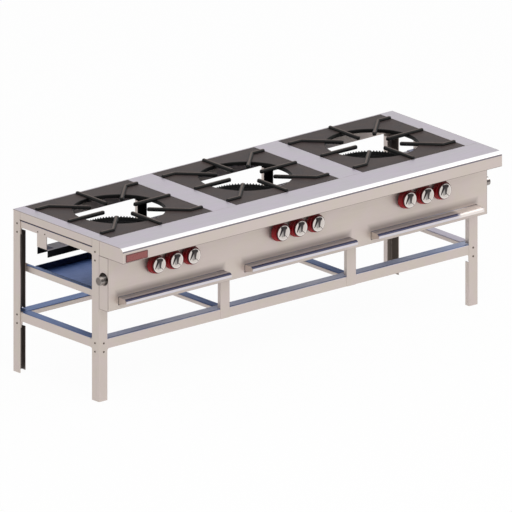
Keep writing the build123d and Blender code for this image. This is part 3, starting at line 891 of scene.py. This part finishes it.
@dataclass
class SteelFrame:
    """Legs, posts, rails, aprons and runners, all of folded stainless section.

    Level faces carry a painted reflection, pale on the sections that run lengthways and dusky on
    those that stand. The low rails' tops carry a painted reflection of a darker room: they are
    blue, with navy painted shade in the corners by the legs. Of the front rail's top, only the
    right bay and a strip along the front are blue.
    """

    lengthways: tuple[str, ...] = ("lower_front_rail", "lower_back_rail", "upper_back_rail")
    crossways: tuple[str, ...] = (
        "lower_left_rail",
        "lower_right_rail",
        "lower_cross_rails",
        "upper_left_rail",
        "upper_right_rail",
        "side_aprons",
        "tray_runner_left",
        "tray_runner_right",
        "tray_runners_middle",
    )
    standing: tuple[str, ...] = (
        "leg_front_left",
        "leg_front_right",
        "leg_back_left",
        "leg_back_right",
        "front_posts",
        "back_posts",
        "support_hangers",
    )
    pale: str = "#c9cbd9"
    dusk: str = "#7c7f9c"
    blue: str = "#506a9c"
    navy: str = "#1c2a52"
    right_top: str = "#b8b2c0"
    inside_left: str = "#77706c"
    inside_right: str = "#8f857e"
    inside_post: str = "#101010"
    skin: float = 1.2 * MM
    post_skin: float = 1.5 * MM
    post_middle: float = 22.5 * MM
    post_half: float = 21.3 * MM
    edge: Spot = (0.5 * MM, 0.5 * MM, 0.5 * MM)
    low_under: float = 0.3
    rail_room: float = 50.0 * MM
    bay: Pair = (0.55, 0.95)
    bay_fade: Spot = (0.2, 0.01, 0.1)
    front_strip: Pair = (10.0 * MM, 9.0 * MM)
    strip_fade: Spot = (0.01, 2.0 * MM, 0.1)
    corner_x: float = 0.87
    corner_half: Pair = (50.0 * MM, 60.0 * MM)
    corner_fade: Spot = (30.0 * MM, 30.0 * MM, 1.0)
    right_span: Pair = (0.85, 0.95)

    def insides(self) -> tuple[Shade, ...]:
        """Paints shade on the insides of the back legs and back posts, which no lamp reaches.

        Returns:
            Their shades.
        """
        low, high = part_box("leg_back_left")
        post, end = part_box("back_posts")
        front, back = low.y, high.y - self.skin
        spans = [
            (self.inside_left, low.x + self.skin, high.x - self.skin),
            (self.inside_right, -high.x + self.skin, -low.x - self.skin),
        ]
        shades = [
            Shade(tone, (start, front, -TALL), (stop, back, TALL), self.edge)
            for tone, start, stop in spans
        ]
        front, back = post.y + self.post_skin, end.y - self.skin
        for side in (post.x + self.post_middle, end.x - self.post_middle):
            start, stop = side - self.post_half, side + self.post_half
            inside = ((start, front, -TALL), (stop, back, TALL))
            shades.append(Shade(self.inside_post, *inside, self.edge))
        return tuple(shades)

    def tops(self) -> tuple[Shade, ...]:
        """Paints blue reflection on the low rails' tops: the back one's and parts of the front
        one's.

        Returns:
            Their shades.
        """
        low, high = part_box("lower_back_rail")
        front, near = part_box("lower_front_rail")
        room, ahead, behind = self.rail_room, *self.front_strip
        blocks = (
            (-WIDE, low.y - room, WIDE, high.y + room, Shade.fade),
            (self.bay[0], front.y - room, self.bay[1], near.y + room, self.bay_fade),
            (-WIDE, front.y - ahead, WIDE, front.y + behind, self.strip_fade),
        )
        return tuple(
            Shade(
                self.blue,
                (start, y_low, -TALL),
                (stop, y_high, self.low_under),
                fade,
                facing=Facing.LEVEL,
            )
            for start, y_low, stop, y_high, fade in blocks
        )

    def corners(self) -> tuple[Shade, ...]:
        """Paints shade on the low rails' tops in the corners beside the legs.

        Returns:
            A shade for each corner.
        """
        back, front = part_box("lower_back_rail")[0].y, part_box("lower_front_rail")[1].y
        x_half, y_half = self.corner_half
        shades = []
        for x in (-self.corner_x, self.corner_x):
            for y in (back, front):
                low = (x - x_half, y - y_half, -TALL)
                high = (x + x_half, y + y_half, self.low_under)
                shade = Shade(self.navy, low, high, self.corner_fade, facing=Facing.LEVEL)
                shades.append(shade)
        return tuple(shades)

    def build(self, nodes: Nodes, seams_and_fold_shade: tuple[Shade, ...]) -> list[Piece]:
        """Dresses each section with its brushing along its length.

        Args:
            nodes: the CAD nodes by name.
            seams_and_fold_shade: the lines where sheets meet or fold.

        Returns:
            The dressed nodes.
        """
        # The right end of the right rail's top is painted pale: painted light.
        low = (self.right_span[0], -TALL, -TALL)
        high = (self.right_span[1], TALL, self.low_under)
        right_top = Shade(self.right_top, low, high, facing=Facing.LEVEL)
        corners = self.corners()
        runs = (
            (Grain.ALONG_X, self.lengthways, self.pale, (*self.tops(), *corners)),
            (Grain.ALONG_Y, self.crossways, self.blue, (*corners, right_top, *seams_and_fold_shade)),
            (Grain.ALONG_Z, self.standing, self.dusk, (*seams_and_fold_shade, *self.insides())),
        )
        dressed = []
        for grain, names, level, shades in runs:
            finish = BrushedStainless(
                f"folded_stainless_{grain.name.lower()}",
                level=level,
                level_second=level,
                brushed=grain,
                shades=shades,
            ).build()
            for name in names:
                dress(nodes[name], finish)
                dressed.append(nodes[name])
        return dressed


@dataclass
class SheetWork:
    """The worktop, the ledge, the panel and the tray pulls, of brushed stainless sheet.

    The ledge's rolled front has a painted white highlight over a thin painted dark reflection. A
    pull has a dark stripe at the top of its bend and a pale lip, both painted reflections, and the
    panel above it has a soft painted shade.
    """

    sheets: tuple[str, ...] = ("worktop", "front_ledge", "control_panel")
    nose_radius: float = 18.0 * MM
    # A painted white highlight over a thin painted dark reflection.
    nose_bands: tuple[Band, ...] = (
        Band("#ffffff", 24.0, 80.0, 0.92),
        Band("#716e79", 4.0, 24.0),
    )
    pull_radius: float = 11.0 * MM
    # Painted reflections: a dark stripe on the bend and a pale lip.
    pull_bands: tuple[Band, ...] = (
        Band("#363a59", 20.0, 94.0, 0.95),
        Band("#dcdeee", -60.0, 18.0, 0.5),
    )
    pull_level: tuple[str, str] = ("#bfb6b4", "#bab2b4")
    # A soft painted shade on the panel above each pull.
    contact_tone: str = "#675e5b"
    contact_share: float = 0.78
    contact_ends: Pair = (20.0 * MM, 10.0 * MM)
    contact_below: float = 10.0 * MM
    contact_high: float = 34.0 * MM
    contact_soft: float = 30.0 * MM
    # Painted shade on the pulls' tops beside the panel.
    back_tone: str = "#3a3230"
    back_deep: float = 30.0 * MM
    # Painted light on the end of the right pull.
    lit_tone: str = "#efe6e0"
    lit_share: float = 0.9
    lit_long: float = 125.0 * MM
    lit_past: float = 10.0 * MM
    lit_soft: float = 20.0 * MM
    proud: float = 1.0 * MM
    thin: float = 0.5 * MM

    def rolled(self, node: str, radius: float, bands: tuple[Band, ...]) -> Roll:
        """Returns the rolled edge along a node's front and top."""
        low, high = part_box(node)
        return Roll(low.y + radius, high.z - radius, radius, bands)

    def contact(self) -> tuple[Shade, ...]:
        """Paints a soft dark shade on the panel above the pulls.

        Returns:
            A shade for each pull.
        """
        shades = []
        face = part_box("control_panel")[0].y
        fade = (self.contact_soft, self.thin, self.contact_high)
        for station in STATIONS:
            low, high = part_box(f"tray_pull_{station}")
            start, stop = low.x - self.contact_ends[0], high.x + self.contact_ends[1]
            bottom, top = high.z - self.contact_below, high.z + self.contact_high
            box = ((start, face - self.proud, bottom), (stop, face + self.proud, top))
            shades.append(Shade(self.contact_tone, *box, fade, self.contact_share))
        return tuple(shades)

    def pull_shades(self) -> tuple[Shade, ...]:
        """Paints shade on the pulls' backs beside the panel, and light on the end of the right one.

        Returns:
            The two shades.
        """
        low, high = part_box("tray_pull_right")
        rear = high.y + self.proud
        back = (-WIDE, high.y - self.back_deep, -TALL), (WIDE, rear, TALL)
        start, stop = high.x - self.lit_long, high.x + self.lit_past
        lit = (start, low.y - self.proud, -TALL), (stop, rear, TALL)
        back_fade, lit_fade = (1.0, self.back_deep, 0.1), (self.lit_soft, self.thin, 0.1)
        return (
            Shade(self.back_tone, *back, back_fade, facing=Facing.LEVEL),
            Shade(self.lit_tone, *lit, lit_fade, self.lit_share),
        )

    def build(self, nodes: Nodes, seams_and_fold_shade: tuple[Shade, ...]) -> list[Piece]:
        """Dresses the sheet parts.

        Args:
            nodes: the CAD nodes by name.
            seams_and_fold_shade: the lines where sheets meet or fold.

        Returns:
            The dressed nodes.
        """
        nose = self.rolled("front_ledge", self.nose_radius, self.nose_bands)
        lip = self.rolled("tray_pull_left", self.pull_radius, self.pull_bands)
        sheet = BrushedStainless(
            "brushed_stainless_sheet", shades=(*seams_and_fold_shade, *self.contact()), rolls=(nose,)
        ).build()
        pull = BrushedStainless(
            "brushed_stainless_pull",
            level=self.pull_level[0],
            level_second=self.pull_level[1],
            shades=self.pull_shades(),
            rolls=(lip,),
        ).build()
        parts = {name: sheet for name in self.sheets}
        parts.update({f"tray_pull_{station}": pull for station in STATIONS})
        for name, finish in parts.items():
            dress(nodes[name], finish)
        return [nodes[name] for name in parts]


@dataclass
class StationFinishes:
    """The three finishes that every station has: its plate's, its burner's and its tray's."""

    crest_above: float = 4.0 * MM
    back_wall: float = 10.0 * MM
    navy: str = "#1c2a52"

    def build(self) -> tuple[Finish, Finish, Finish]:
        """Makes them.

        Returns:
            The cast plate's, the burner's and the drip tray's materials.
        """
        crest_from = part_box("worktop")[1].z + self.crest_above
        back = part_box("drip_tray_left")[1].y
        low = (-WIDE, back - self.back_wall, -TALL)
        high = (WIDE, back + 1.0 * MM, TALL)
        # Cast plates, seasoned by years of hot oil: more satin than shine.
        plate = SeasonedCastIron("seasoned_cast_iron", crest_from)
        # Cast burners, burnt black: only their coarse grit shows.
        grit = Texture(3.0, 0.3, 0.4, 3.0, (0.05, 0.06))
        burner = PlainSurface("burner_cast_iron", "#0a0a0b", "#0d0d0e", roughness=0.6, grit=grit)
        # Pressed trays: their blue is a painted reflection, and the back is dark with painted
        # shade.
        tray = BrushedStainless(
            "pressed_stainless_tray",
            upright="#5f6d92",
            upright_second="#57648c",
            level="#4a6bae",
            level_second="#4063a4",
            roughness=0.4,
            shades=(Shade(self.navy, low, high, (1.0, 4.0 * MM, 1.0)),),
        )
        return plate.build(), burner.build(), tray.build()


@dataclass
class Station:
    """One cooking station: its cast plate, its burner with teeth and jets, and its drip tray."""

    name: str
    teeth: int = 84
    tooth_foot: float = 4.2 * MM
    tooth_tip: float = 1.6 * MM
    tooth_height: float = 5.5 * MM
    ring_radii: tuple[float, ...] = (130 * MM, 88 * MM, 38 * MM)
    ring_drop: float = 10.0 * MM
    jet_pitch: float = 14.0 * MM
    jet_foot: float = 2.4 * MM
    jet_tip: float = 1.2 * MM
    jet_height: float = 3.5 * MM
    post_sides: int = 4
    sunk: float = 0.5 * MM

    def rings(self, posts: RingOfPosts, iron: Finish) -> list[Piece]:
        """Stands the teeth on the burner's rim and the jets on its rings.

        Args:
            posts: the tree that stands posts in a ring.
            iron: their finish.

        Returns:
            A piece for each ring.
        """
        low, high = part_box(f"burner_{self.name}")
        radius = (high.x - low.x) / 2
        tooth = (self.tooth_foot, self.tooth_tip, self.tooth_height)
        jet = (self.jet_foot, self.jet_tip, self.jet_height)
        rings = [("teeth", radius - self.tooth_foot, self.teeth, tooth, high.z)]
        for number, jets in enumerate(self.ring_radii):
            count = round(math.tau * jets / self.jet_pitch)
            rings.append((f"jets_{number}", jets, count, jet, high.z - self.ring_drop))
        made = []
        for label, ring, count, (foot, tip, tall), base in rings:
            values = {
                "Centre": ((low.x + high.x) / 2, low.y + radius, base - self.sunk),
                "Ring Radius": ring,
                "Posts": count,
                "Sides": self.post_sides,
                "Foot": foot,
                "Tip": tip,
                "Height": tall,
                "Finish": iron,
            }
            empty = bpy.data.meshes.new("ring")
            piece = posts.run(f"burner_{label}_{self.name}", empty, values)
            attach(piece, "frame")
            made.append(piece)
        return made

    def build(
        self, nodes: Nodes, posts: RingOfPosts, finishes: tuple[Finish, Finish, Finish]
    ) -> list[Piece]:
        """Dresses the station's nodes and adds the burner's teeth and jets.

        Args:
            nodes: the CAD nodes by name.
            posts: the tree that stands posts in a ring.
            finishes: the cast plate's, the burner's and the drip tray's.

        Returns:
            The station's pieces.
        """
        parts = [nodes[f"{kind}_{self.name}"] for kind in ("cast_plate", "burner", "drip_tray")]
        for part, finish in zip(parts, finishes):
            dress(part, finish)
        return parts + self.rings(posts, finishes[1])


@dataclass
class Knob:
    """A turned knob: a moulded red body with a wide skirt, and a chromed face with its stem.

    Lengths forward are from the back of the skirt. The lip is the face's turned edge, as steps
    in from its side and back from its front, and the dish is its hollow, as shares of the
    face's radius and of the dish's depth.
    """

    station: str
    place: str
    segments: int = 72
    skirt_thick: float = 5.0 * MM
    skirt_edge: float = 1.0 * MM
    skirt_round: float = 1.6 * MM
    shoulder_radius: float = 34.0 * MM
    shoulder_forward: float = 18.0 * MM
    shoulder_round: float = 1.2 * MM
    neck_radius: float = 30.5 * MM
    neck_round: float = 0.8 * MM
    stem_radius: float = 4.0 * MM
    stem_room: float = 0.2 * MM
    seat_deep: float = 3.0 * MM
    seat_room: float = 0.15 * MM
    lip: tuple[Pair, ...] = (
        (0.0, 1.2 * MM),
        (0.4 * MM, 0.3 * MM),
        (1.3 * MM, 0.0),
        (2.4 * MM, 0.2 * MM),
        (3.2 * MM, 0.7 * MM),
    )
    dish_deep: float = 0.7 * MM
    dish: tuple[Pair, ...] = ((0.5, 1.3), (0.0, 1.4))
    round_steps: int = 5
    sharp_from: float = 35.0

    def lathe(self, name: str, profile: Sequence[Pair], finish: Finish, face: float) -> Piece:
        """Turns a closed profile about the knob's axis.

        Args:
            name: the object's name.
            profile: radius and distance forward of the knob's back, from the axis and back to it.
            finish: its material.
            face: the radius that is 1 in the face's UV map.

        Returns:
            The turned piece.
        """
        low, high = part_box(f"knob_{self.station}_{self.place}")
        centre = Vector(((low.x + high.x) / 2, high.y, (low.z + high.z) / 2))
        deep = high.y - low.y
        work = bmesh.new()
        rings = []
        for radius, forward in profile:
            if not radius:
                rings.append([work.verts.new(centre + Vector((0, -forward, 0)))])
                continue
            ring = []
            for step in range(self.segments):
                angle = math.tau * step / self.segments
                out = Vector((math.cos(angle) * radius, -forward, math.sin(angle) * radius))
                ring.append(work.verts.new(centre + out))
            rings.append(ring)
        for near, far in zip(rings, rings[1:]):
            for step in range(self.segments):
                after = (step + 1) % self.segments
                corners = [near[step % len(near)], near[after % len(near)]]
                corners += [far[after % len(far)], far[step % len(far)]]
                unique = list(dict.fromkeys(corners))
                if len(unique) > 2:
                    work.faces.new(unique)
        bmesh.ops.remove_doubles(work, verts=work.verts, dist=0.001 * MM)
        bmesh.ops.recalc_face_normals(work, faces=work.faces)
        across = work.loops.layers.uv.new("face")
        along = work.loops.layers.uv.new("side")
        for patch in work.faces:
            patch.smooth = True
            for loop in patch.loops:
                spot = loop.vert.co - centre
                loop[across].uv = (spot.x / face, spot.z / face)
                loop[along].uv = (0.5, -spot.y / deep)
        mesh = bpy.data.meshes.new(name)
        work.to_mesh(mesh)
        work.free()
        mesh.set_sharp_from_angle(angle=math.radians(self.sharp_from))
        piece = new_object(name, mesh)
        dress(piece, finish)
        return piece

    def corner(self, radius: float, forward: float, soft: float) -> list[Pair]:
        """Rounds an outer corner of the profile.

        Args:
            radius: the corner's radius from the axis.
            forward: how far forward it is.
            soft: the radius of the rounding.

        Returns:
            Its points, from the side round to the front.
        """
        turns = [math.radians(90 / self.round_steps * i) for i in range(self.round_steps + 1)]
        return [
            (radius - soft + soft * math.cos(a), forward - soft + soft * math.sin(a))
            for a in turns
        ]

    def build(self, red: Finish, chrome: Finish) -> list[Piece]:
        """Builds the two pieces and rides them on the knob's body.

        Args:
            red: the body's finish.
            chrome: the face's finish.

        Returns:
            The two pieces.
        """
        label = f"{self.station}_{self.place}"
        low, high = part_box(f"knob_{label}")
        face_low, face_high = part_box(f"knob_face_{label}")
        radius, deep = (high.x - low.x) / 2, high.y - low.y
        cap, front = (face_high.x - face_low.x) / 2, high.y - face_low.y
        stem, back = self.stem_radius, high.y - face_high.y
        bore, seat, rim = stem + self.stem_room, front - self.seat_deep, cap + self.seat_room
        body = [(bore, 0.0), (radius - self.skirt_edge, 0.0), (radius, self.skirt_edge)]
        body += self.corner(radius, self.skirt_thick, self.skirt_round)
        body += self.corner(self.shoulder_radius, self.shoulder_forward, self.shoulder_round)
        body += [(self.neck_radius, self.shoulder_forward)]
        body += self.corner(self.neck_radius, deep, self.neck_round)
        body += [(rim, deep), (rim, seat), (bore, seat), (bore, 0.0)]
        cover = [(0.0, back), (stem, back), (stem, seat), (cap, seat)]
        cover += [(cap - inward, front - behind) for inward, behind in self.lip]
        cover += [(cap * out, front - self.dish_deep * hollow) for out, hollow in self.dish]
        made = [
            self.lathe(f"knob_body_{label}", body, red, radius),
            self.lathe(f"knob_cap_{label}", cover, chrome, cap),
        ]
        for piece, node, place in zip(made, ("knob", "knob_face"), ("knob_red", "knob_metal")):
            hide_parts(f"{node}_{label}")
            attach(piece, f"knob_{label}")
        return made


@dataclass
class ScrewHeads:
    """The pan heads on the legs, in pairs where the rails' tabs are, and on the hangers' straps."""

    radius: float = 4.0 * MM
    rise: float = 1.5 * MM
    slot: float = 0.9 * MM
    merge: float = 0.01 * MM

    def islands(self, mesh: bpy.types.Mesh) -> list[tuple[Vector, Vector]]:
        """Finds the loose parts of a merged copy of a mesh.

        Args:
            mesh: the CAD mesh of all the screws, which stays as it is.

        Returns:
            The lowest and highest corners of each.
        """
        work = bmesh.new()
        work.from_mesh(mesh)
        bmesh.ops.remove_doubles(work, verts=work.verts, dist=self.merge)
        seen: set[bmesh.types.BMVert] = set()
        boxes = []
        for vert in work.verts:
            if vert in seen:
                continue
            seen.add(vert)
            queue, spots = [vert], []
            while queue:
                here = queue.pop()
                spots.append(here.co.copy())
                fresh = {edge.other_vert(here) for edge in here.link_edges} - seen
                seen |= fresh
                queue += fresh
            low = Vector([min(spot[i] for spot in spots) for i in range(3)])
            high = Vector([max(spot[i] for spot in spots) for i in range(3)])
            boxes.append((low, high))
        work.free()
        return boxes

    def build(self, nodes: Nodes, heads: HeadsOnPoints, finish: Finish) -> Piece:
        """Puts a head at each of the CAD screws.

        Args:
            nodes: the CAD nodes by name.
            heads: the tree that puts heads on points.
            finish: their material.

        Returns:
            The piece with all the heads.
        """
        spots, facing, sizes = [], [], []
        for low, high in self.islands(nodes["screws"].data):
            size, centre = high - low, (low + high) / 2
            axis = min(range(3), key=lambda i: size[i])
            out = Vector((0.0, 0.0, 0.0))
            out[axis] = math.copysign(1.0, centre[axis])
            spots.append(centre - out * size[axis] / 2)
            facing.append(out)
            sizes.append(max(size) / 2 / self.radius)
        points = bpy.data.meshes.new("screw_points")
        points.from_pydata([tuple(spot) for spot in spots], [], [])
        # Both attributes come before either is filled, because adding one moves the other.
        points.attributes.new("facing", "FLOAT_VECTOR", "POINT")
        points.attributes.new("size", "FLOAT", "POINT")
        for index, (way, share) in enumerate(zip(facing, sizes)):
            points.attributes["facing"].data[index].vector = way
            points.attributes["size"].data[index].value = share
        values = {"Radius": self.radius, "Rise": self.rise, "Slot": self.slot, "Finish": finish}
        piece = heads.run("screw_heads", points, values)
        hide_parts("screws")
        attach(piece, "frame")
        return piece


@dataclass
class Fittings:
    """The bare nameplate, the burner support, the gas pipe and what hangs on it."""

    plate_tone: str = "#87423f"
    plate_edge: float = 2.2 * MM
    plate_fade: Spot = (1.6 * MM, 0.5 * MM, 1.6 * MM)
    # Painted reflections along the pipe: a dark belt with a bright one over it.
    pipe_bands: tuple[Band, ...] = (
        Band("#4b4645", 2.0, 34.0, 0.9),
        Band("#f2efec", 40.0, 75.0, 0.8),
    )

    def plate_field(self) -> Shade:
        """Marks out the nameplate's field, inside its darker fired edge.

        Returns:
            The field's shade.
        """
        low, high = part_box("nameplate")
        inset, proud = self.plate_edge, 1.0 * MM
        start = (low.x + inset, low.y - proud, low.z + inset)
        end = (high.x - inset, high.y + proud, high.z - inset)
        return Shade(self.plate_tone, start, end, self.plate_fade)

    def pipe_belt(self) -> Roll:
        """Paints reflections on the pipe: a dark belt along its front, with a bright one over it.

        Returns:
            Its rounded face.
        """
        low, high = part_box("gas_manifold")
        centre = (low + high) / 2
        return Roll(centre.y, centre.z, (high.z - low.z) / 2, self.pipe_bands)

    def build(self, nodes: Nodes) -> list[Piece]:
        """Dresses the fittings.

        Args:
            nodes: the CAD nodes by name.

        Returns:
            The dressed nodes.
        """
        finishes = {
            # Red vitreous enamel, fired on a plate: glossy, and thinner at its edge.
            "nameplate": PlainSurface(
                "red_enamelled_plate",
                "#5a1f20",
                "#602224",
                roughness=0.3,
                coat=0.3,
                shades=(self.plate_field(),),
            ),
            # Rolled steel channel: near-black painted shade on its webs, and painted light on its
            # tops.
            "burner_support": PlainSurface(
                "steel_channel_painted_shade",
                "#101116",
                "#0c0d12",
                metallic=0.3,
                roughness=0.5,
                level="#e6e3ee",
            ),
            # Drawn steel pipe: long bright and dark lines along it, painted reflections.
            "gas_manifold": PlainSurface(
                "drawn_steel_pipe",
                "#a39c97",
                "#9a938f",
                metallic=0.8,
                roughness=0.3,
                rolls=(self.pipe_belt(),),
            ),
            # Forged steel plug: duller and browner than the pipe around it.
            "manifold_plug": PlainSurface(
                "forged_steel_plug", "#857b77", "#7d7470", metallic=0.4, roughness=0.5
            ),
            # Brass, turned from bar: a warm even gloss.
            "gas_valves": PlainSurface(
                "turned_brass", "#b08d4f", "#a68246", metallic=1.0, roughness=0.3
            ),
            # Aluminium tube, drawn: pale and softer in its gloss than the brass.
            "gas_tubes": PlainSurface(
                "drawn_aluminium", "#b3b2b1", "#a9a9a9", metallic=1.0, roughness=0.35
            ),
        }
        for name, finish in finishes.items():
            dress(nodes[name], finish.build())
        return [nodes[name] for name in finishes]


# ---------------------------------------------------------------- stage


@dataclass(frozen=True)
class PhotoView:
    """The photograph's parallel view of the range."""

    turn: float = -40.0
    rise: float = 18.0
    frame_px: float = 512.0
    px_size: float = 3.638 * MM
    corner_px: Pair = (12.97, 209.0)
    distance: float = 6.0
    clip_end: float = 100.0

    def build(self) -> None:
        """Puts the camera where the back left top corner falls on its pixel."""
        a, e = math.radians(self.turn), math.radians(self.rise)
        back = Vector((math.sin(a) * math.cos(e), -math.cos(a) * math.cos(e), math.sin(e)))
        right = Vector((math.cos(a), math.sin(a), 0.0))
        up = back.cross(right)
        low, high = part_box("worktop")
        corner = Vector((low.x, high.y, high.z))
        half = self.frame_px / 2
        across = (self.corner_px[0] - half) * self.px_size
        rise = (half - self.corner_px[1]) * self.px_size
        data = bpy.data.cameras.new("photo_camera")
        data.type = "ORTHO"
        data.ortho_scale = self.frame_px * self.px_size
        data.clip_end = self.clip_end
        camera = bpy.data.objects.new("photo_camera", data)
        camera.rotation_mode = "QUATERNION"
        camera.rotation_quaternion = back.to_track_quat("Z", "Y")
        camera.location = corner - right * across - up * rise + back * self.distance
        bpy.context.scene.collection.objects.link(camera)
        bpy.context.scene.camera = camera


@dataclass(frozen=True)
class Lamp:
    """A soft square lamp that looks at the range: its side in metres and its power in watts."""

    name: str
    spot: Spot
    size: float
    watts: float
    aim: Spot = (0.0, 0.0, 0.4)

    def build(self) -> None:
        """Hangs the lamp."""
        data = bpy.data.lights.new(self.name, "AREA")
        data.size = self.size
        data.energy = self.watts
        lamp = bpy.data.objects.new(self.name, data)
        lamp.location = self.spot
        lamp.rotation_mode = "QUATERNION"
        lamp.rotation_quaternion = (Vector(self.spot) - Vector(self.aim)).to_track_quat("Z", "Y")
        bpy.context.scene.collection.objects.link(lamp)


@dataclass
class Studio:
    """A plain pale floor, a white background and soft lamps."""

    floor_size: float = 30.0
    floor_tone: str = "#f4f3f2"
    floor_white: float = 0.965
    sky: float = 0.62
    lamps: tuple[Lamp, ...] = (
        Lamp("key_lamp", (-1.5, -3.2, 3.4), 2.5, 60.0),
        Lamp("fill_lamp", (3.0, -1.5, 2.6), 2.0, 25.0),
    )

    def seen(self, tree: bpy.types.NodeTree) -> Socket:
        """Finds what the camera, metal and glass look at.

        Args:
            tree: the tree that asks.

        Returns:
            A socket that is 1 for it.
        """
        path = add_node(tree, "ShaderNodeLightPath").outputs
        most = path["Is Camera Ray"]
        for ray in ("Is Glossy Ray", "Is Transmission Ray"):
            both = {0: most, 1: path[ray]}
            most = add_node(tree, MATH, {"operation": "MAXIMUM"}, both).outputs[0]
        return most

    def world(self) -> None:
        """Makes the world: white to look at, softer as light."""
        world = bpy.data.worlds.new("studio")
        bpy.context.scene.world = world
        world.use_nodes = True
        tree = world.node_tree
        tree.nodes.clear()
        ends = {TO_LOW: self.sky, TO_HIGH: 1.0}
        level = add_node(tree, RANGE, ends, {0: self.seen(tree)}).outputs[0]
        white = {"Color": (1.0, 1.0, 1.0, 1.0)}
        light = add_node(tree, "ShaderNodeBackground", white, {"Strength": level})
        add_node(tree, "ShaderNodeOutputWorld", {}, {"Surface": light.outputs[0]})

    def floor(self) -> None:
        """Makes the floor, which keeps a soft share of the range's shadow."""
        half = self.floor_size / 2
        spots = [(-half, -half, 0), (half, -half, 0), (half, half, 0), (-half, half, 0)]
        mesh = bpy.data.meshes.new("studio_floor")
        mesh.from_pydata(spots, [], [(0, 1, 2, 3)])
        piece = new_object("studio_floor", mesh)
        material = bpy.data.materials.new("pale_floor")
        material.use_nodes = True
        tree = material.node_tree
        tree.nodes.clear()
        matt = add_node(tree, "ShaderNodeBsdfDiffuse", {"Color": linear(self.floor_tone)})
        white = add_node(tree, "ShaderNodeEmission", {"Strength": 1.0})
        ends = {TO_LOW: 0.0, TO_HIGH: self.floor_white}
        share = add_node(tree, RANGE, ends, {0: self.seen(tree)})
        mix = {0: share.outputs[0], 1: matt.outputs[0], 2: white.outputs[0]}
        mix = add_node(tree, "ShaderNodeMixShader", {}, mix).outputs[0]
        add_node(tree, "ShaderNodeOutputMaterial", {}, {"Surface": mix})
        dress(piece, material)

    def build(self) -> None:
        """Builds the stage and sets the plain colour view."""
        self.world()
        self.floor()
        for lamp in self.lamps:
            lamp.build()
        bpy.context.scene.view_settings.view_transform = "Standard"


# ---------------------------------------------------------------- the whole range


def main() -> None:
    """Builds and dresses the range, then its stage and camera."""
    logging.basicConfig(level=logging.INFO, format="%(name)s: %(message)s")
    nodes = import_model()["nodes"]
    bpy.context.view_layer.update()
    seams_and_fold_shade = SeamsAndFoldShade().lines()
    pieces = SteelFrame().build(nodes, seams_and_fold_shade)
    pieces += SheetWork().build(nodes, seams_and_fold_shade)
    pieces += Fittings().build(nodes)
    posts, finishes = RingOfPosts(), StationFinishes().build()
    for station in STATIONS:
        pieces += Station(station).build(nodes, posts, finishes)
    red, chrome = MouldedPhenolic().build(), TurnedChrome().build()
    for station in STATIONS:
        for place in PLACES:
            pieces += Knob(station, place).build(red, chrome)
    # Zinc-plated screws, gone brown: a dull metal with a little gloss left.
    zinc = PlainSurface("zinc_plated_steel", "#6a5f55", "#5f564e", metallic=0.8, roughness=0.4)
    pieces.append(ScrewHeads().build(nodes, HeadsOnPoints(), zinc.build()))
    for piece in pieces:
        LOG.info("%s: %d faces", piece.name, len(piece.data.polygons))
    Studio().build()
    PhotoView().build()


if __name__ == "__main__":
    main()
